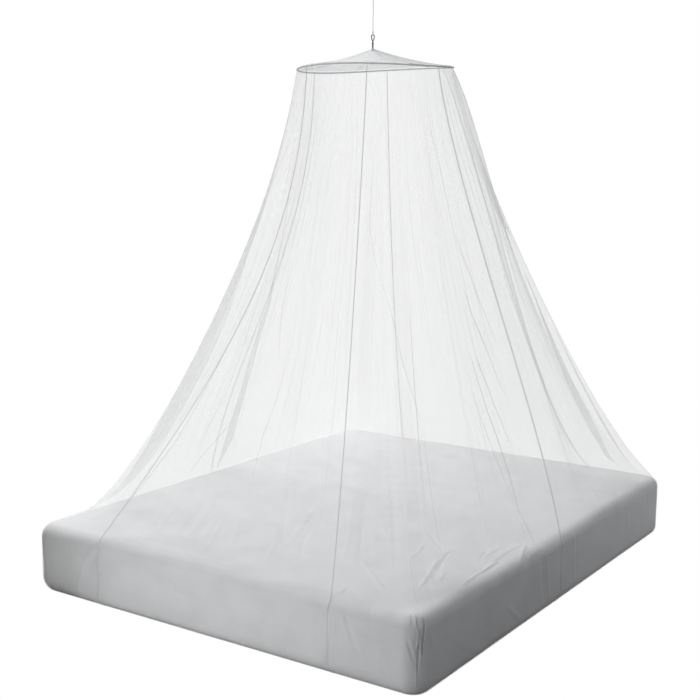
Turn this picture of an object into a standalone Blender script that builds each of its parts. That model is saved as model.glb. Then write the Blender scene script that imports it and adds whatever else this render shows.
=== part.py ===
"""Bell-shaped mosquito net canopy, hung on a cord and tucked under a mattress.

Metres, +Z up. The origin is on the floor under the middle of the mattress, +X runs along
the foot edge to the right and +Y from the foot to the head.

A low crown of six net panels and a wall of six net gores meet at a round hoop in a sewn
casing. The gores fall from the hoop as a bell, bend over the mattress's top edge, run down
its sides and are tucked flat under it, so the mattress stands on their hems. A tape loop
through the crown's tip carries everything on a thin cord from a ceiling hook.
"""

import math

import bmesh
import bpy
import numpy as np

GAP = 0.0003  # between pieces that touch in the real thing
SEAM_GAP = 0.0004  # between panels along a seam, more because their edges aren't parallel
NET = 0.0012  # thickness of the net sheets

# Mattress
MATTRESS_WIDTH = 1.60
MATTRESS_LENGTH = 2.00
MATTRESS_HEIGHT = 0.25
CORNER_RADIUS = 0.06  # of the four upright corners, in plan
TOP_EDGE = 0.040  # radius of the top edge
BOTTOM_EDGE = 0.038
MATTRESS_BASE = NET + GAP  # it lies on the tucked hems
MATTRESS_TOP = MATTRESS_BASE + MATTRESS_HEIGHT

# Hoop and its casing
HOOP_CENTRE = (-0.031, 0.012)  # it hangs a little off the mattress's middle
HOOP_HEIGHT = 1.898
HOOP_RADIUS = 0.291
HOOP_TILT = 0.012  # how far its head end hangs above its middle
HOOP_WARP = 0.0065  # its left and right dip by this much, its two ends rise
ROD_RADIUS = 0.0028
CASING_BORE = ROD_RADIUS + 2 * GAP
CASING_RADIUS = CASING_BORE + NET
CASING_SLOT = 40  # degrees of the casing left open, where its two edges meet inside
HOOP_STEPS = 40

# Crown
CROWN_SEAM = -43.0  # azimuth of one seam in degrees, the rest 60 apart
CROWN_RISE = 0.064  # from the hoop to the tip
CROWN_SAG = 0.009  # along a seam
CROWN_DIP = 0.009  # more in the middle of a panel
TIP_CENTRE = (-0.039, 0.006)
TIP_RADIUS = 0.0048
CROWN_COLUMNS = 6
CROWN_ROWS = 6
CROWN_FOOT = HOOP_HEIGHT + CASING_RADIUS + GAP + NET / 2
TIP_HEIGHT = CROWN_FOOT + CROWN_RISE

# Wall
CLEARANCE = 0.0045  # from the mattress to the net's inner face
TUCK = 0.090  # how far the hem runs in under the mattress
TIGHTEST_CORNER = 0.012  # of the hem's turned-in corners, in plan
WALL_TOP = HOOP_HEIGHT - CASING_RADIUS - 2 * GAP
COLUMN_WIDTH = 0.115  # widest cell along the mattress's edge
HANGING_ROWS = 12
ARC_ROWS = 4
CORNER_CELLS = 4

# The wall's six seams, counterclockwise from the near one at the foot: their azimuth on the
# hoop in degrees, and where they cross the mattress's edge, in metres along its four sides
# from the foot-left corner.
SEAM_COLUMNS = ("azimuth", "edge")
SEAMS = (
    (-62.7, 1.282),
    (-5.5, 2.570),
    (58.5, 3.920),
    (113.5, 4.880),
    (177.3, 6.250),
    (244.5, 7.503),
)
GORE_NAMES = ("foot_right", "head_right", "head", "head_left", "foot_left", "foot")

# How the net hangs, at places counted in gores from the first seam. lean and land are its
# angles in degrees, from the upright at the hoop and from the level where it comes down on
# the mattress's edge. upper and lower are the lengths in metres over which it holds them.
# lie is how much of it lies along its landing direction before the edge.
HANG_COLUMNS = ("place", "lean", "upper", "land", "lower", "lie")
HANG = (
    (0.00, 18, 0.38, 51, 0.49, 0.015),  # near seam at the foot
    (0.25, 10, 0.45, 9, 0.34, 0.060),  # corner, foot right
    (0.62, 8, 0.42, 66, 0.42, 0.015),
    (1.00, 10, 0.43, 79, 0.40, 0.015),  # seam at the right side
    (1.45, 38, 0.30, 52, 0.66, 0.015),
    (1.76, 18, 0.26, 44, 0.48, 0.030),  # corner, head right
    (2.00, 30, 0.27, 42, 0.40, 0.015),
    (2.50, 14, 0.50, 64, 0.60, 0.015),  # middle of the head
    (3.00, 11, 0.50, 54, 0.65, 0.015),
    (3.24, 8, 0.46, 9, 0.34, 0.050),  # corner, head left
    (3.60, 6, 0.60, 66, 0.45, 0.015),
    (4.00, 1, 0.72, 80, 0.55, 0.015),  # seam at the left side
    (4.40, 11, 0.74, 73, 0.42, 0.015),
    (4.76, 7, 0.53, 11, 0.21, 0.085),  # corner, foot left
    (5.00, 2, 0.63, 52, 0.73, 0.020),
    (5.50, 12, 0.55, 60, 0.60, 0.015),  # middle of the foot
)

# The wall's main folds: place and half width in gores, height out of the wall in metres,
# and the shares of the drop between which the fold grows from nothing to its full height.
FOLD_COLUMNS = ("place", "half", "height", "start", "full")
FOLDS = (
    (0.16, 0.12, 0.010, 0.15, 0.70),
    (0.42, 0.15, -0.012, 0.20, 0.75),
    (0.70, 0.13, 0.014, 0.10, 0.60),
    (0.88, 0.10, -0.010, 0.08, 0.50),
    (1.14, 0.11, 0.016, 0.05, 0.45),
    (1.36, 0.13, -0.014, 0.10, 0.55),
    (1.60, 0.12, 0.018, 0.06, 0.50),
    (1.82, 0.10, -0.012, 0.15, 0.70),
    (2.20, 0.16, 0.014, 0.12, 0.60),
    (2.46, 0.14, -0.012, 0.20, 0.75),
    (2.76, 0.17, 0.015, 0.10, 0.60),
    (3.12, 0.11, -0.011, 0.12, 0.60),
    (3.38, 0.14, 0.016, 0.08, 0.55),
    (3.66, 0.13, -0.014, 0.12, 0.60),
    (3.90, 0.12, 0.020, 0.10, 0.50),
    (4.14, 0.12, -0.015, 0.10, 0.55),
    (4.38, 0.12, 0.017, 0.06, 0.50),
    (4.64, 0.12, -0.014, 0.10, 0.60),
    (4.87, 0.10, 0.016, 0.06, 0.50),
    (5.22, 0.15, -0.010, 0.15, 0.70),
    (5.50, 0.16, 0.012, 0.20, 0.80),
    (5.80, 0.15, -0.010, 0.20, 0.75),
)

# Low ridges where the slack gathers on the mattress's sides: place and half width in gores,
# and height in metres.
RIDGE_COLUMNS = ("place", "half", "height")
RIDGES = (
    (0.05, 0.30, 0.010),
    (0.21, 0.05, 0.004),
    (0.95, 0.08, 0.004),
    (2.40, 0.12, 0.004),
    (4.08, 0.10, 0.004),
    (4.82, 0.22, 0.009),
    (5.72, 0.25, 0.005),
)

# Hanger, cord and ceiling hook
FOOT_RADIUS = 0.010  # of the loop's knotted end, under the tip
FOOT_HEIGHT = 0.005
SHANK_RADIUS = 0.0036
SHANK_HEIGHT = 0.027  # from the tip to the eye
SHANK_TURNS = 1.5
EYE_HEIGHT = 0.026  # outside
EYE_WIDTH = 0.014
EYE_STRAND = 0.0017  # radius
EYE_TURN = math.radians(34)  # of the eye's flat side about the upright
CORD_RADIUS = 0.0011
HITCH_RADIUS = 0.0038  # of the cord's loop, at the middle of the cord
KNOT_RADIUS = 0.0026
KNOT_HEIGHT = 0.009
CEILING = 2.215
PLATE_RADIUS = 0.020
PLATE_HEIGHT = 0.003
HOOK_BEND = 0.0075  # radius of the hook's bend
HOOK_WIRE = 0.0020  # radius
HOOK_DROP = 0.012  # straight wire above the bend


def clear_scene():
    for obj in list(bpy.data.objects):
        bpy.data.objects.remove(obj, do_unlink=True)


def material(name, colour, roughness, metallic=0.0):
    made = bpy.data.materials.new(name)
    made.use_nodes = True
    shader = made.node_tree.nodes["Principled BSDF"]
    shader.inputs["Base Color"].default_value = (*colour, 1.0)
    shader.inputs["Roughness"].default_value = roughness
    shader.inputs["Metallic"].default_value = metallic
    made.diffuse_color = (*colour, 1.0)
    return made


def add_object(name, data, finish):
    obj = bpy.data.objects.new(name, data)
    bpy.context.scene.collection.objects.link(obj)
    obj.data.materials.append(finish)
    return obj


def mesh_from(name, vertices, faces, smooth_angle=40):
    """A mesh with its normals pointing out and its edges under smooth_angle shaded smooth."""
    mesh = bpy.data.meshes.new(name)
    mesh.from_pydata([tuple(map(float, v)) for v in vertices], [], faces)
    work = bmesh.new()
    work.from_mesh(mesh)
    bmesh.ops.recalc_face_normals(work, faces=work.faces)
    work.to_mesh(mesh)
    work.free()
    mesh.shade_smooth()
    mesh.set_sharp_from_angle(angle=math.radians(smooth_angle))
    return mesh


def lofted(name, loops, closed=False):
    """Closed loops of equal length joined one to the next, and capped unless closed on itself."""
    count = len(loops[0])
    vertices = [point for loop in loops for point in loop]
    faces = []
    for row in range(len(loops) if closed else len(loops) - 1):
        here = row * count
        above = (row + 1) % len(loops) * count
        for k in range(count):
            after = (k + 1) % count
            faces.append((here + k, here + after, above + after, above + k))
    if not closed:
        faces.append(tuple(range(count))[::-1])
        faces.append(tuple(range(len(vertices) - count, len(vertices))))
    return mesh_from(name, vertices, faces)


def wire(name, points, radius, cyclic=False, resolution=2):
    """A round wire along the points, as a curve with filled ends."""
    curve = bpy.data.curves.new(name, "CURVE")
    curve.dimensions = "3D"
    curve.bevel_depth = radius
    curve.bevel_resolution = resolution
    curve.use_fill_caps = True
    spline = curve.splines.new("POLY")
    spline.points.add(len(points) - 1)
    for point, place in zip(spline.points, points):
        point.co = (*place, 1.0)
    spline.use_cyclic_u = cyclic
    return curve


def as_mesh(curve):
    """The curve's tube as a mesh, with the ends of its caps welded."""
    holder = bpy.data.objects.new(curve.name, curve)
    bpy.context.scene.collection.objects.link(holder)
    bpy.context.view_layer.update()
    graph = bpy.context.evaluated_depsgraph_get()
    mesh = bpy.data.meshes.new_from_object(holder.evaluated_get(graph))
    bpy.data.objects.remove(holder, do_unlink=True)
    work = bmesh.new()
    work.from_mesh(mesh)
    bmesh.ops.remove_doubles(work, verts=work.verts, dist=1e-6)
    bmesh.ops.recalc_face_normals(work, faces=work.faces)
    work.to_mesh(mesh)
    work.free()
    return mesh


def join(obj, mesh):
    """Adds a mesh to the object with a Boolean union."""
    other = bpy.data.objects.new(f"{obj.name}_guide", mesh)
    bpy.context.scene.collection.objects.link(other)
    other.hide_render = True
    other.display_type = "WIRE"
    union = obj.modifiers.new(f"with_{mesh.name}", "BOOLEAN")
    union.operation = "UNION"
    union.solver = "EXACT"
    union.object = other


def hoop_lift(azimuth):
    """How far the hoop, not quite level or flat, stands above its middle height, in radians."""
    return HOOP_TILT * math.sin(azimuth) - HOOP_WARP * math.cos(2 * azimuth)


def smooth_step(x):
    x = np.clip(x, 0.0, 1.0)
    return x * x * (3.0 - 2.0 * x)


# ---- the mattress's plan ----


def outline(distance, outset):
    """Point and outward direction on the mattress's plan.

    distance runs along its four sides from the foot-left corner. The plan is moved out by
    outset, or in where that is negative, and the last CORNER_RADIUS of each side is round.
    """
    lengths = (MATTRESS_WIDTH, MATTRESS_LENGTH) * 2
    distance %= sum(lengths)
    side = 0
    while distance > lengths[side]:
        distance -= lengths[side]
        side += 1
    length = lengths[side]
    reach = lengths[side - 1] / 2 + outset  # from the middle out to this side
    radius = max(CORNER_RADIUS + outset, TIGHTEST_CORNER)
    half = length / 2 + outset - radius
    middle = math.radians(90 * side - 90)
    along = np.interp(
        distance, (0, CORNER_RADIUS, length - CORNER_RADIUS, length), (-half, -half, half, half)
    )
    turn = np.interp(
        distance, (0, CORNER_RADIUS, length - CORNER_RADIUS, length), (-45, 0, 0, 45)
    )
    facing = middle + math.radians(turn)
    forward = np.array((-math.sin(middle), math.cos(middle)))
    outward = np.array((math.cos(middle), math.sin(middle)))
    direction = np.array((math.cos(facing), math.sin(facing)))
    return outward * (reach - radius) + forward * along + direction * radius, direction


def edge_stops(start, end):
    """Distances for the net's columns, close together round an upright corner."""
    lengths = (MATTRESS_WIDTH, MATTRESS_LENGTH) * 2
    corners = np.cumsum(lengths)
    marks = [start]
    for corner in corners:
        if start < corner < end:
            marks += list(
                np.linspace(corner - CORNER_RADIUS, corner + CORNER_RADIUS, CORNER_CELLS + 1)
            )
    marks.append(end)
    stops = [start]
    for low, high in zip(marks, marks[1:]):
        cells = math.ceil((high - low) / COLUMN_WIDTH - 1e-6)
        stops += list(np.linspace(low, high, cells + 1)[1:])
    return stops


# ---- mattress ----


def make_mattress(finish):
    """Rounded block: a stack of outlines, round at the bottom and top edges."""
    rows = []
    for angle in np.linspace(0, 90, ARC_ROWS + 1):
        turn = math.radians(angle)
        rows.append(
            (
                -BOTTOM_EDGE * (1 - math.sin(turn)),
                MATTRESS_BASE + BOTTOM_EDGE * (1 - math.cos(turn)),
            )
        )
    for angle in np.linspace(90, 0, ARC_ROWS + 1):
        turn = math.radians(angle)
        rows.append(
            (
                -TOP_EDGE * (1 - math.sin(turn)),
                MATTRESS_TOP - TOP_EDGE * (1 - math.cos(turn)),
            )
        )
    around = 2 * (MATTRESS_WIDTH + MATTRESS_LENGTH)
    stops = edge_stops(MATTRESS_WIDTH / 2, MATTRESS_WIDTH / 2 + around - 1e-9)[:-1]
    loops = []
    for outset, z in rows:
        loops.append([(*outline(stop, outset)[0], z) for stop in stops])
    add_object("mattress", lofted("mattress", loops), finish)


# ---- net wall ----


def seam_rows():
    """The seams with the first one again at the end, a full turn further on."""
    around = 2 * (MATTRESS_WIDTH + MATTRESS_LENGTH)
    azimuth, edge = SEAMS[0]
    return SEAMS + ((azimuth + 360, edge + around),)


def table_value(table, columns, name, place):
    """A named column of a table, eased between its rows, at a place counted in gores."""
    places = [row[0] for row in table] + [table[0][0] + len(SEAMS)]
    values = [row[columns.index(name)] for row in table]
    values.append(values[0])
    place = (place - places[0]) % len(SEAMS) + places[0]
    k = min(int(np.searchsorted(places, place, side="right")), len(places) - 1)
    share = smooth_step((place - places[k - 1]) / (places[k] - places[k - 1]))
    return values[k - 1] + (values[k] - values[k - 1]) * share


def bump(place, row):
    """1 at the row's place, falling to 0 at its half width to either side."""
    away = (place - row[0] + len(SEAMS) / 2) % len(SEAMS) - len(SEAMS) / 2
    return math.cos(min(abs(away) / row[1], 1.0) * math.pi / 2) ** 2


def meridian(place):
    """Middle of the net sheet from the hoop to the end of the hem, at a place in gores.

    Returns the points and, for each, its share of the drop down to the mattress's edge.
    """
    rows = seam_rows()
    azimuth = math.radians(np.interp(place, range(len(rows)), [row[0] for row in rows]))
    edge = np.interp(place, range(len(rows)), [row[1] for row in rows])
    lean, upper, land, lower, lie = (
        table_value(HANG, HANG_COLUMNS, name, place) for name in HANG_COLUMNS[1:]
    )
    lean = math.radians(lean)
    land = math.radians(land)
    skin = CLEARANCE + NET / 2  # from the mattress to the middle of the sheet

    def over_edge(angle):
        """Where the sheet slopes by angle on the round top edge, and straight out from there."""
        radius = TOP_EDGE + skin
        plan, outward = outline(edge, skin - radius * (1 - math.sin(angle)))
        return np.array((*plan, MATTRESS_TOP + skin - radius * (1 - math.cos(angle)))), outward

    radial = np.array((math.cos(azimuth), math.sin(azimuth), 0.0))
    start = np.array((*HOOP_CENTRE, WALL_TOP + hoop_lift(azimuth))) + radial * HOOP_RADIUS
    leaving = radial * math.sin(lean) - np.array((0, 0, math.cos(lean)))
    rest, outward = over_edge(land)
    run = (rest - start)[:2]
    landing = np.array((*(run * math.cos(land) / (run @ outward)), -math.sin(land)))
    landing /= np.linalg.norm(landing)
    contact = rest - landing * lie
    points = []
    shares = []
    for t in np.linspace(0, 1, HANGING_ROWS + 1):
        points.append(
            (1 - t) ** 3 * start
            + 3 * (1 - t) ** 2 * t * (start + leaving * upper)
            + 3 * (1 - t) * t**2 * (contact - landing * lower)
            + t**3 * contact
        )
        shares.append(t)
    for angle in np.linspace(land, math.pi / 2, ARC_ROWS + 1):
        points.append(over_edge(angle)[0])
        shares.append(1.0)
    low_radius = BOTTOM_EDGE + skin
    low_height = BOTTOM_EDGE + GAP + NET / 2
    low_centre = NET / 2 + low_height
    side_top = points[-1][2]
    points.append(np.array((*outline(edge, skin)[0], (side_top + low_centre) / 2)))
    for angle in np.linspace(0, math.pi / 2, ARC_ROWS + 1):
        plan = outline(edge, skin - low_radius * (1 - math.cos(angle)))[0]
        points.append(np.array((*plan, low_centre - low_height * math.sin(angle))))
    for inward in (TUCK / 2, TUCK):
        points.append(np.array((*outline(edge, skin - low_radius - inward)[0], NET / 2)))
    shares += [1.0] * (len(points) - len(shares))
    return np.array(points), np.array(shares)


def wall_grid():
    """The whole wall's sheet: points and normals in columns, and the seams' columns."""
    rows = seam_rows()
    places = []
    seams = [0]
    for k in range(len(SEAMS)):
        stops = np.array(edge_stops(rows[k][1], rows[k + 1][1]))
        places += list(k + (stops[:-1] - stops[0]) / (stops[-1] - stops[0]))
        seams.append(len(places))
    points = []
    for place in places:
        column, shares = meridian(place)
        points.append(column)
    points = np.array(points)
    normals = sheet_normals(points)
    side_rows = slice(HANGING_ROWS + 3, HANGING_ROWS + 2 * ARC_ROWS)
    for k, place in enumerate(places):
        lift = np.zeros(len(shares))
        for row in FOLDS:
            grown = smooth_step((shares - row[3]) / (row[4] - row[3]))
            settled = smooth_step((1.0 - shares) / 0.12)
            lift += row[2] * bump(place, row) * grown * settled
        for row in RIDGES:
            lift[side_rows] += row[2] * bump(place, row)
        points[k] += normals[k] * lift[:, None]
    return points, sheet_normals(points), seams


def sheet_normals(points):
    """Unit outward normals of a sheet that closes on itself from its last column to its first."""
    across = np.roll(points, -1, axis=0) - np.roll(points, 1, axis=0)
    down = np.gradient(points, axis=1)
    normals = np.cross(down, across)
    return normals / np.linalg.norm(normals, axis=2, keepdims=True)


def panel_mesh(name, points, normals):
    """A closed sheet of NET thickness about a grid of points, a little short of its seams."""
    points = points.copy()
    for column, inner in ((0, 1), (-1, -2)):
        inwards = points[inner] - points[column]
        inwards -= normals[column] * (inwards * normals[column]).sum(axis=1, keepdims=True)
        points[column] += inwards / np.linalg.norm(inwards, axis=1, keepdims=True) * SEAM_GAP / 2
    columns, rows = points.shape[:2]
    outer = points + normals * NET / 2
    inner = points - normals * NET / 2
    vertices = np.concatenate((outer.reshape(-1, 3), inner.reshape(-1, 3)))
    back = columns * rows
    faces = []
    for c in range(columns - 1):
        for r in range(rows - 1):
            here = c * rows + r
            across = here + rows
            # both sides are cut along the same diagonal, so a twisted cell keeps its thickness
            for corners in ((here, here + 1, across + 1), (here, across + 1, across)):
                faces.append(corners)
                faces.append(tuple(back + v for v in corners[::-1]))
    rim = (
        [r for r in range(rows)]
        + [c * rows + rows - 1 for c in range(1, columns)]
        + [(columns - 1) * rows + r for r in range(rows - 2, -1, -1)]
        + [c * rows for c in range(columns - 2, 0, -1)]
    )
    for here, after in zip(rim, rim[1:] + rim[:1]):
        faces.append((after, here, back + here, back + after))
    return mesh_from(name, vertices, faces)


def make_wall(finish):
    points, normals, seams = wall_grid()
    points = np.concatenate((points, points[:1]))
    normals = np.concatenate((normals, normals[:1]))
    for k, name in enumerate(GORE_NAMES):
        part = slice(seams[k], seams[k + 1] + 1)
        add_object(f"gore_{name}", panel_mesh(name, points[part], normals[part]), finish)


# ---- crown ----


def crown_point(share, azimuth):
    """Middle of the crown's sheet, share 0 at the hoop and 1 at the tip, azimuth in radians."""
    centre = np.array(HOOP_CENTRE) * (1 - share) + np.array(TIP_CENTRE) * share
    radius = (HOOP_RADIUS - 0.001) * (1 - share) + TIP_RADIUS * share
    foot = CROWN_FOOT + hoop_lift(azimuth)
    between = math.sin(3 * (azimuth - math.radians(CROWN_SEAM))) ** 2
    sag = 4 * (CROWN_SAG + CROWN_DIP * between) * share * (1 - share)
    return (
        centre[0] + radius * math.cos(azimuth),
        centre[1] + radius * math.sin(azimuth),
        foot * (1 - share) + TIP_HEIGHT * share - sag,
    )


def make_crown(finish):
    count = 6 * CROWN_COLUMNS
    shares = np.linspace(0, 1, CROWN_ROWS + 1)
    points = []
    for k in range(count):
        azimuth = math.radians(CROWN_SEAM + 360 * k / count)
        points.append([crown_point(share, azimuth) for share in shares])
    points = np.array(points)
    normals = -sheet_normals(points)
    points = np.concatenate((points, points[:1]))
    normals = np.concatenate((normals, normals[:1]))
    for k in range(6):
        part = slice(k * CROWN_COLUMNS, (k + 1) * CROWN_COLUMNS + 1)
        name = f"crown_panel_{k + 1}"
        add_object(name, panel_mesh(name, points[part], normals[part]), finish)


# ---- hoop and casing ----


def ring_azimuths():
    return [math.tau * k / HOOP_STEPS for k in range(HOOP_STEPS)]


def make_hoop(finish):
    ring = [
        (
            HOOP_CENTRE[0] + HOOP_RADIUS * math.cos(azimuth),
            HOOP_CENTRE[1] + HOOP_RADIUS * math.sin(azimuth),
            HOOP_HEIGHT + hoop_lift(azimuth),
        )
        for azimuth in ring_azimuths()
    ]
    add_object("hoop", wire("hoop", ring, ROD_RADIUS, cyclic=True), finish)


def make_casing(finish):
    """A strip bent round the rod, its two edges together at the inside."""
    open_at = 205  # degrees round the section, from straight out, through the top
    bend = np.radians(
        np.linspace(open_at - 360 + CASING_SLOT / 2, open_at - CASING_SLOT / 2, 11)
    )
    profile = [(CASING_RADIUS, angle) for angle in bend]
    profile += [(CASING_BORE, angle) for angle in bend[::-1]]
    loops = []
    for azimuth in ring_azimuths():
        height = HOOP_HEIGHT + hoop_lift(azimuth)
        loop = []
        for radius, angle in profile:
            reach = HOOP_RADIUS + radius * math.cos(angle)
            loop.append(
                (
                    HOOP_CENTRE[0] + reach * math.cos(azimuth),
                    HOOP_CENTRE[1] + reach * math.sin(azimuth),
                    height + radius * math.sin(angle),
                )
            )
        loops.append(loop)
    add_object("hoop_casing", lofted("hoop_casing", loops, closed=True), finish)


# ---- hanger ----


def make_hanging_loop(finish):
    """One doubled tape: a knot under the tip, a twisted shank through it and an eye on top."""
    x, y = TIP_CENTRE
    slope = (CROWN_RISE + 4 * (CROWN_SAG + CROWN_DIP)) / (HOOP_RADIUS - TIP_RADIUS)
    seat = TIP_HEIGHT - NET / 2 - 2 * GAP
    rim = seat - slope * (FOOT_RADIUS - TIP_RADIUS)
    sections = [
        (FOOT_RADIUS * 0.65, rim - FOOT_HEIGHT, 0.0),
        (FOOT_RADIUS, rim - FOOT_HEIGHT * 0.6, 0.0),
        (FOOT_RADIUS, rim, 0.0),
        (SHANK_RADIUS, seat, 0.0),
        (SHANK_RADIUS, TIP_HEIGHT + NET, 0.0),
    ]
    steps = 14
    for k in range(steps + 1):
        share = k / steps
        z = TIP_HEIGHT + 0.003 + (SHANK_HEIGHT - 0.001) * share
        sections.append((SHANK_RADIUS, z, SHANK_TURNS * math.tau * share))
    sections.append((SHANK_RADIUS * 0.6, sections[-1][1] + 0.0006, SHANK_TURNS * math.tau))
    loops = []
    for index, (radius, z, twist) in enumerate(sections):
        narrow = 0.70 if index > 5 else 1.0  # two strands side by side, twisted together
        loop = []
        for k in range(12):
            angle = math.tau * k / 12
            a = radius * math.cos(angle)
            b = radius * narrow * math.sin(angle)
            c, s = math.cos(twist), math.sin(twist)
            loop.append((x + a * c - b * s, y + a * s + b * c, z))
        loops.append(loop)
    shank = add_object("hanging_loop", lofted("hanging_loop", loops), finish)
    wide = EYE_WIDTH / 2 - EYE_STRAND
    bend_height = TIP_HEIGHT + SHANK_HEIGHT + EYE_HEIGHT - EYE_STRAND - wide
    ring = []
    for k in range(24):
        angle = math.tau * k / 24
        down = max(0.0, -math.sin(angle))
        reach = wide * (1.0 - 0.45 * down**3) * math.cos(angle)  # it closes towards the shank
        depth = EYE_HEIGHT - 2 * EYE_STRAND - wide if down else wide
        ring.append(
            (
                x + reach * math.cos(EYE_TURN),
                y + reach * math.sin(EYE_TURN),
                bend_height + depth * math.sin(angle),
            )
        )
    join(shank, as_mesh(wire("eye", ring, EYE_STRAND, cyclic=True)))


def make_hitch(name, ring_centre, upwards, finish):
    """The cord's end: a loop round a wire, closed by a knot above it, or below it."""
    x, y, z = ring_centre
    loop = [
        (
            x - HITCH_RADIUS * math.cos(math.tau * k / 20) * math.sin(EYE_TURN),
            y + HITCH_RADIUS * math.cos(math.tau * k / 20) * math.cos(EYE_TURN),
            z + HITCH_RADIUS * math.sin(math.tau * k / 20),
        )
        for k in range(20)
    ]
    near = z + upwards * (HITCH_RADIUS - CORD_RADIUS * 0.5)
    wraps = 3
    loops = []
    rows = 4 * wraps
    for row in range(rows + 1):
        share = row / rows
        waist = 0.80 + 0.20 * math.sin(math.pi * (share * wraps % 1.0))
        radius = KNOT_RADIUS * waist * (0.70 if row in (0, rows) else 1.0)
        level = near + upwards * KNOT_HEIGHT * share
        turns = [math.tau * k / 10 for k in range(10)]
        loops.append(
            [(x + radius * math.cos(a), y + radius * math.sin(a), level) for a in turns]
        )
    knot = add_object(name, lofted(name, loops), finish)
    join(knot, as_mesh(wire(f"{name}_loop", loop, CORD_RADIUS, cyclic=True)))
    return near + upwards * KNOT_HEIGHT


def make_hook(finish):
    """A round plate that screws to the ceiling, with an open hook under its middle."""
    x, y = TIP_CENTRE
    plate = [
        [
            (x + r * math.cos(math.tau * k / 24), y + r * math.sin(math.tau * k / 24), z)
            for k in range(24)
        ]
        for r, z in (
            (PLATE_RADIUS * 0.55, CEILING - PLATE_HEIGHT - 0.0015),
            (PLATE_RADIUS - 0.0015, CEILING - PLATE_HEIGHT),
            (PLATE_RADIUS, CEILING - PLATE_HEIGHT + 0.0015),
            (PLATE_RADIUS, CEILING),
        )
    ]
    hook = add_object("ceiling_hook", lofted("ceiling_hook", plate), finish)
    top = CEILING - PLATE_HEIGHT
    bend_height = top - HOOK_DROP - HOOK_BEND
    path = [(x, y, top), (x, y, top - HOOK_DROP * 0.5)]
    for k in range(15):
        angle = math.radians(90 + 250 * k / 14)
        reach = HOOK_BEND * math.cos(angle)
        path.append(
            (
                x + reach * math.cos(EYE_TURN),
                y + reach * math.sin(EYE_TURN),
                bend_height + HOOK_BEND * math.sin(angle),
            )
        )
    join(hook, as_mesh(wire("hook", path, HOOK_WIRE)))
    return bend_height - HOOK_BEND


def make_cord(low, high, finish):
    """The taut cord, straight up from one knot to the other."""
    x, y = TIP_CENTRE
    low += GAP
    high -= GAP
    count = max(2, round((high - low) / (2.5 * 2 * CORD_RADIUS)))
    points = [(x, y, low + (high - low) * k / count) for k in range(count + 1)]
    add_object("cord", wire("cord", points, CORD_RADIUS), finish)


def main():
    clear_scene()
    net = material("net", (0.90, 0.91, 0.92), 0.75)
    tape = material("tape", (0.74, 0.75, 0.77), 0.80)
    cover = material("mattress_cover", (0.84, 0.84, 0.85), 0.85)
    webbing = material("webbing", (0.42, 0.43, 0.46), 0.80)
    steel = material("steel", (0.55, 0.56, 0.58), 0.35, 0.9)
    rod = material("rod", (0.62, 0.63, 0.65), 0.45)
    twine = material("twine", (0.80, 0.81, 0.83), 0.70)
    make_mattress(cover)
    make_wall(net)
    make_crown(net)
    make_hoop(rod)
    make_casing(tape)
    make_hanging_loop(webbing)
    x, y = TIP_CENTRE
    play = HITCH_RADIUS - CORD_RADIUS - GAP  # the cord's loops bear on what they go round
    eye_top = TIP_HEIGHT + SHANK_HEIGHT + EYE_HEIGHT - EYE_STRAND
    low = make_hitch("cord_hitch_low", (x, y, eye_top + play - EYE_STRAND), 1, twine)
    hook_low = make_hook(steel)
    high = make_hitch("cord_hitch_high", (x, y, hook_low - play + HOOK_WIRE), -1, twine)
    make_cord(low, high, twine)


main()
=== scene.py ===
"""A bell-shaped mosquito net on a round hoop, hung on a cord over a mattress and tucked under it."""

import math

import bmesh
import bpy
import numpy as np
from mathutils import Matrix, Vector


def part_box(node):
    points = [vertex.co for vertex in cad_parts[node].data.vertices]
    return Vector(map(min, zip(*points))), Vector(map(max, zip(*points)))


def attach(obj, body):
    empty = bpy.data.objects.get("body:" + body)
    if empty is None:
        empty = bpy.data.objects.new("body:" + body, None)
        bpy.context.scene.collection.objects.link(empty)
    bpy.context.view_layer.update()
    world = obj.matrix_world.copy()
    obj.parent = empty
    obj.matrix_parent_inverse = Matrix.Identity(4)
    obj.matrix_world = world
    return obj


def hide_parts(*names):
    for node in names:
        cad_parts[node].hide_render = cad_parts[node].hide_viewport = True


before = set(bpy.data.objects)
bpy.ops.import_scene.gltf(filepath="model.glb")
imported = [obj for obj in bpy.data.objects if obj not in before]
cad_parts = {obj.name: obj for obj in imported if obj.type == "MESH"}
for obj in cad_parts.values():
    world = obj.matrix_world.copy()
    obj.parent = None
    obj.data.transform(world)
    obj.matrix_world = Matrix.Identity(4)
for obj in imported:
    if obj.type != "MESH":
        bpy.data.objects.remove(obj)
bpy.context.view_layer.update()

# ---- Camera, floor and light ----
# The view is from beyond the foot's right-hand corner, at eye height. The studio is pale and
# plain: a large soft light high over the head's left, weak ones at the foot, the hoop and the
# right, a dark and a pale card by the foot that the camera doesn't see, and a white surround.

VIEWPOINT = (2.420, -3.791, 1.522)
LENS, SENSOR = 60.76, 36.0  # millimetres
ROLL = math.radians(0.53)


def placed(name, data):
    """A new object in the scene."""
    made = bpy.data.objects.new(name, data)
    bpy.context.scene.collection.objects.link(made)
    return made


camera_data = bpy.data.cameras.new("camera")
camera_data.lens = LENS
camera_data.sensor_width = SENSOR
camera_data.clip_end = 100.0
camera = placed("camera", camera_data)
level_right = Vector((0.8303, 0.5573, 0.0))
level_up = Vector((-0.0841, 0.1253, 0.9885))
ahead = Vector((-0.5509, 0.8208, -0.1509))
right = level_right * math.cos(ROLL) + level_up * math.sin(ROLL)
up = level_up * math.cos(ROLL) - level_right * math.sin(ROLL)
turned = Matrix((right, up, -ahead)).transposed().to_4x4()
camera.matrix_world = Matrix.Translation(VIEWPOINT) @ turned
bpy.context.scene.camera = camera
bpy.context.scene.view_settings.view_transform = "Standard"


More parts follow.
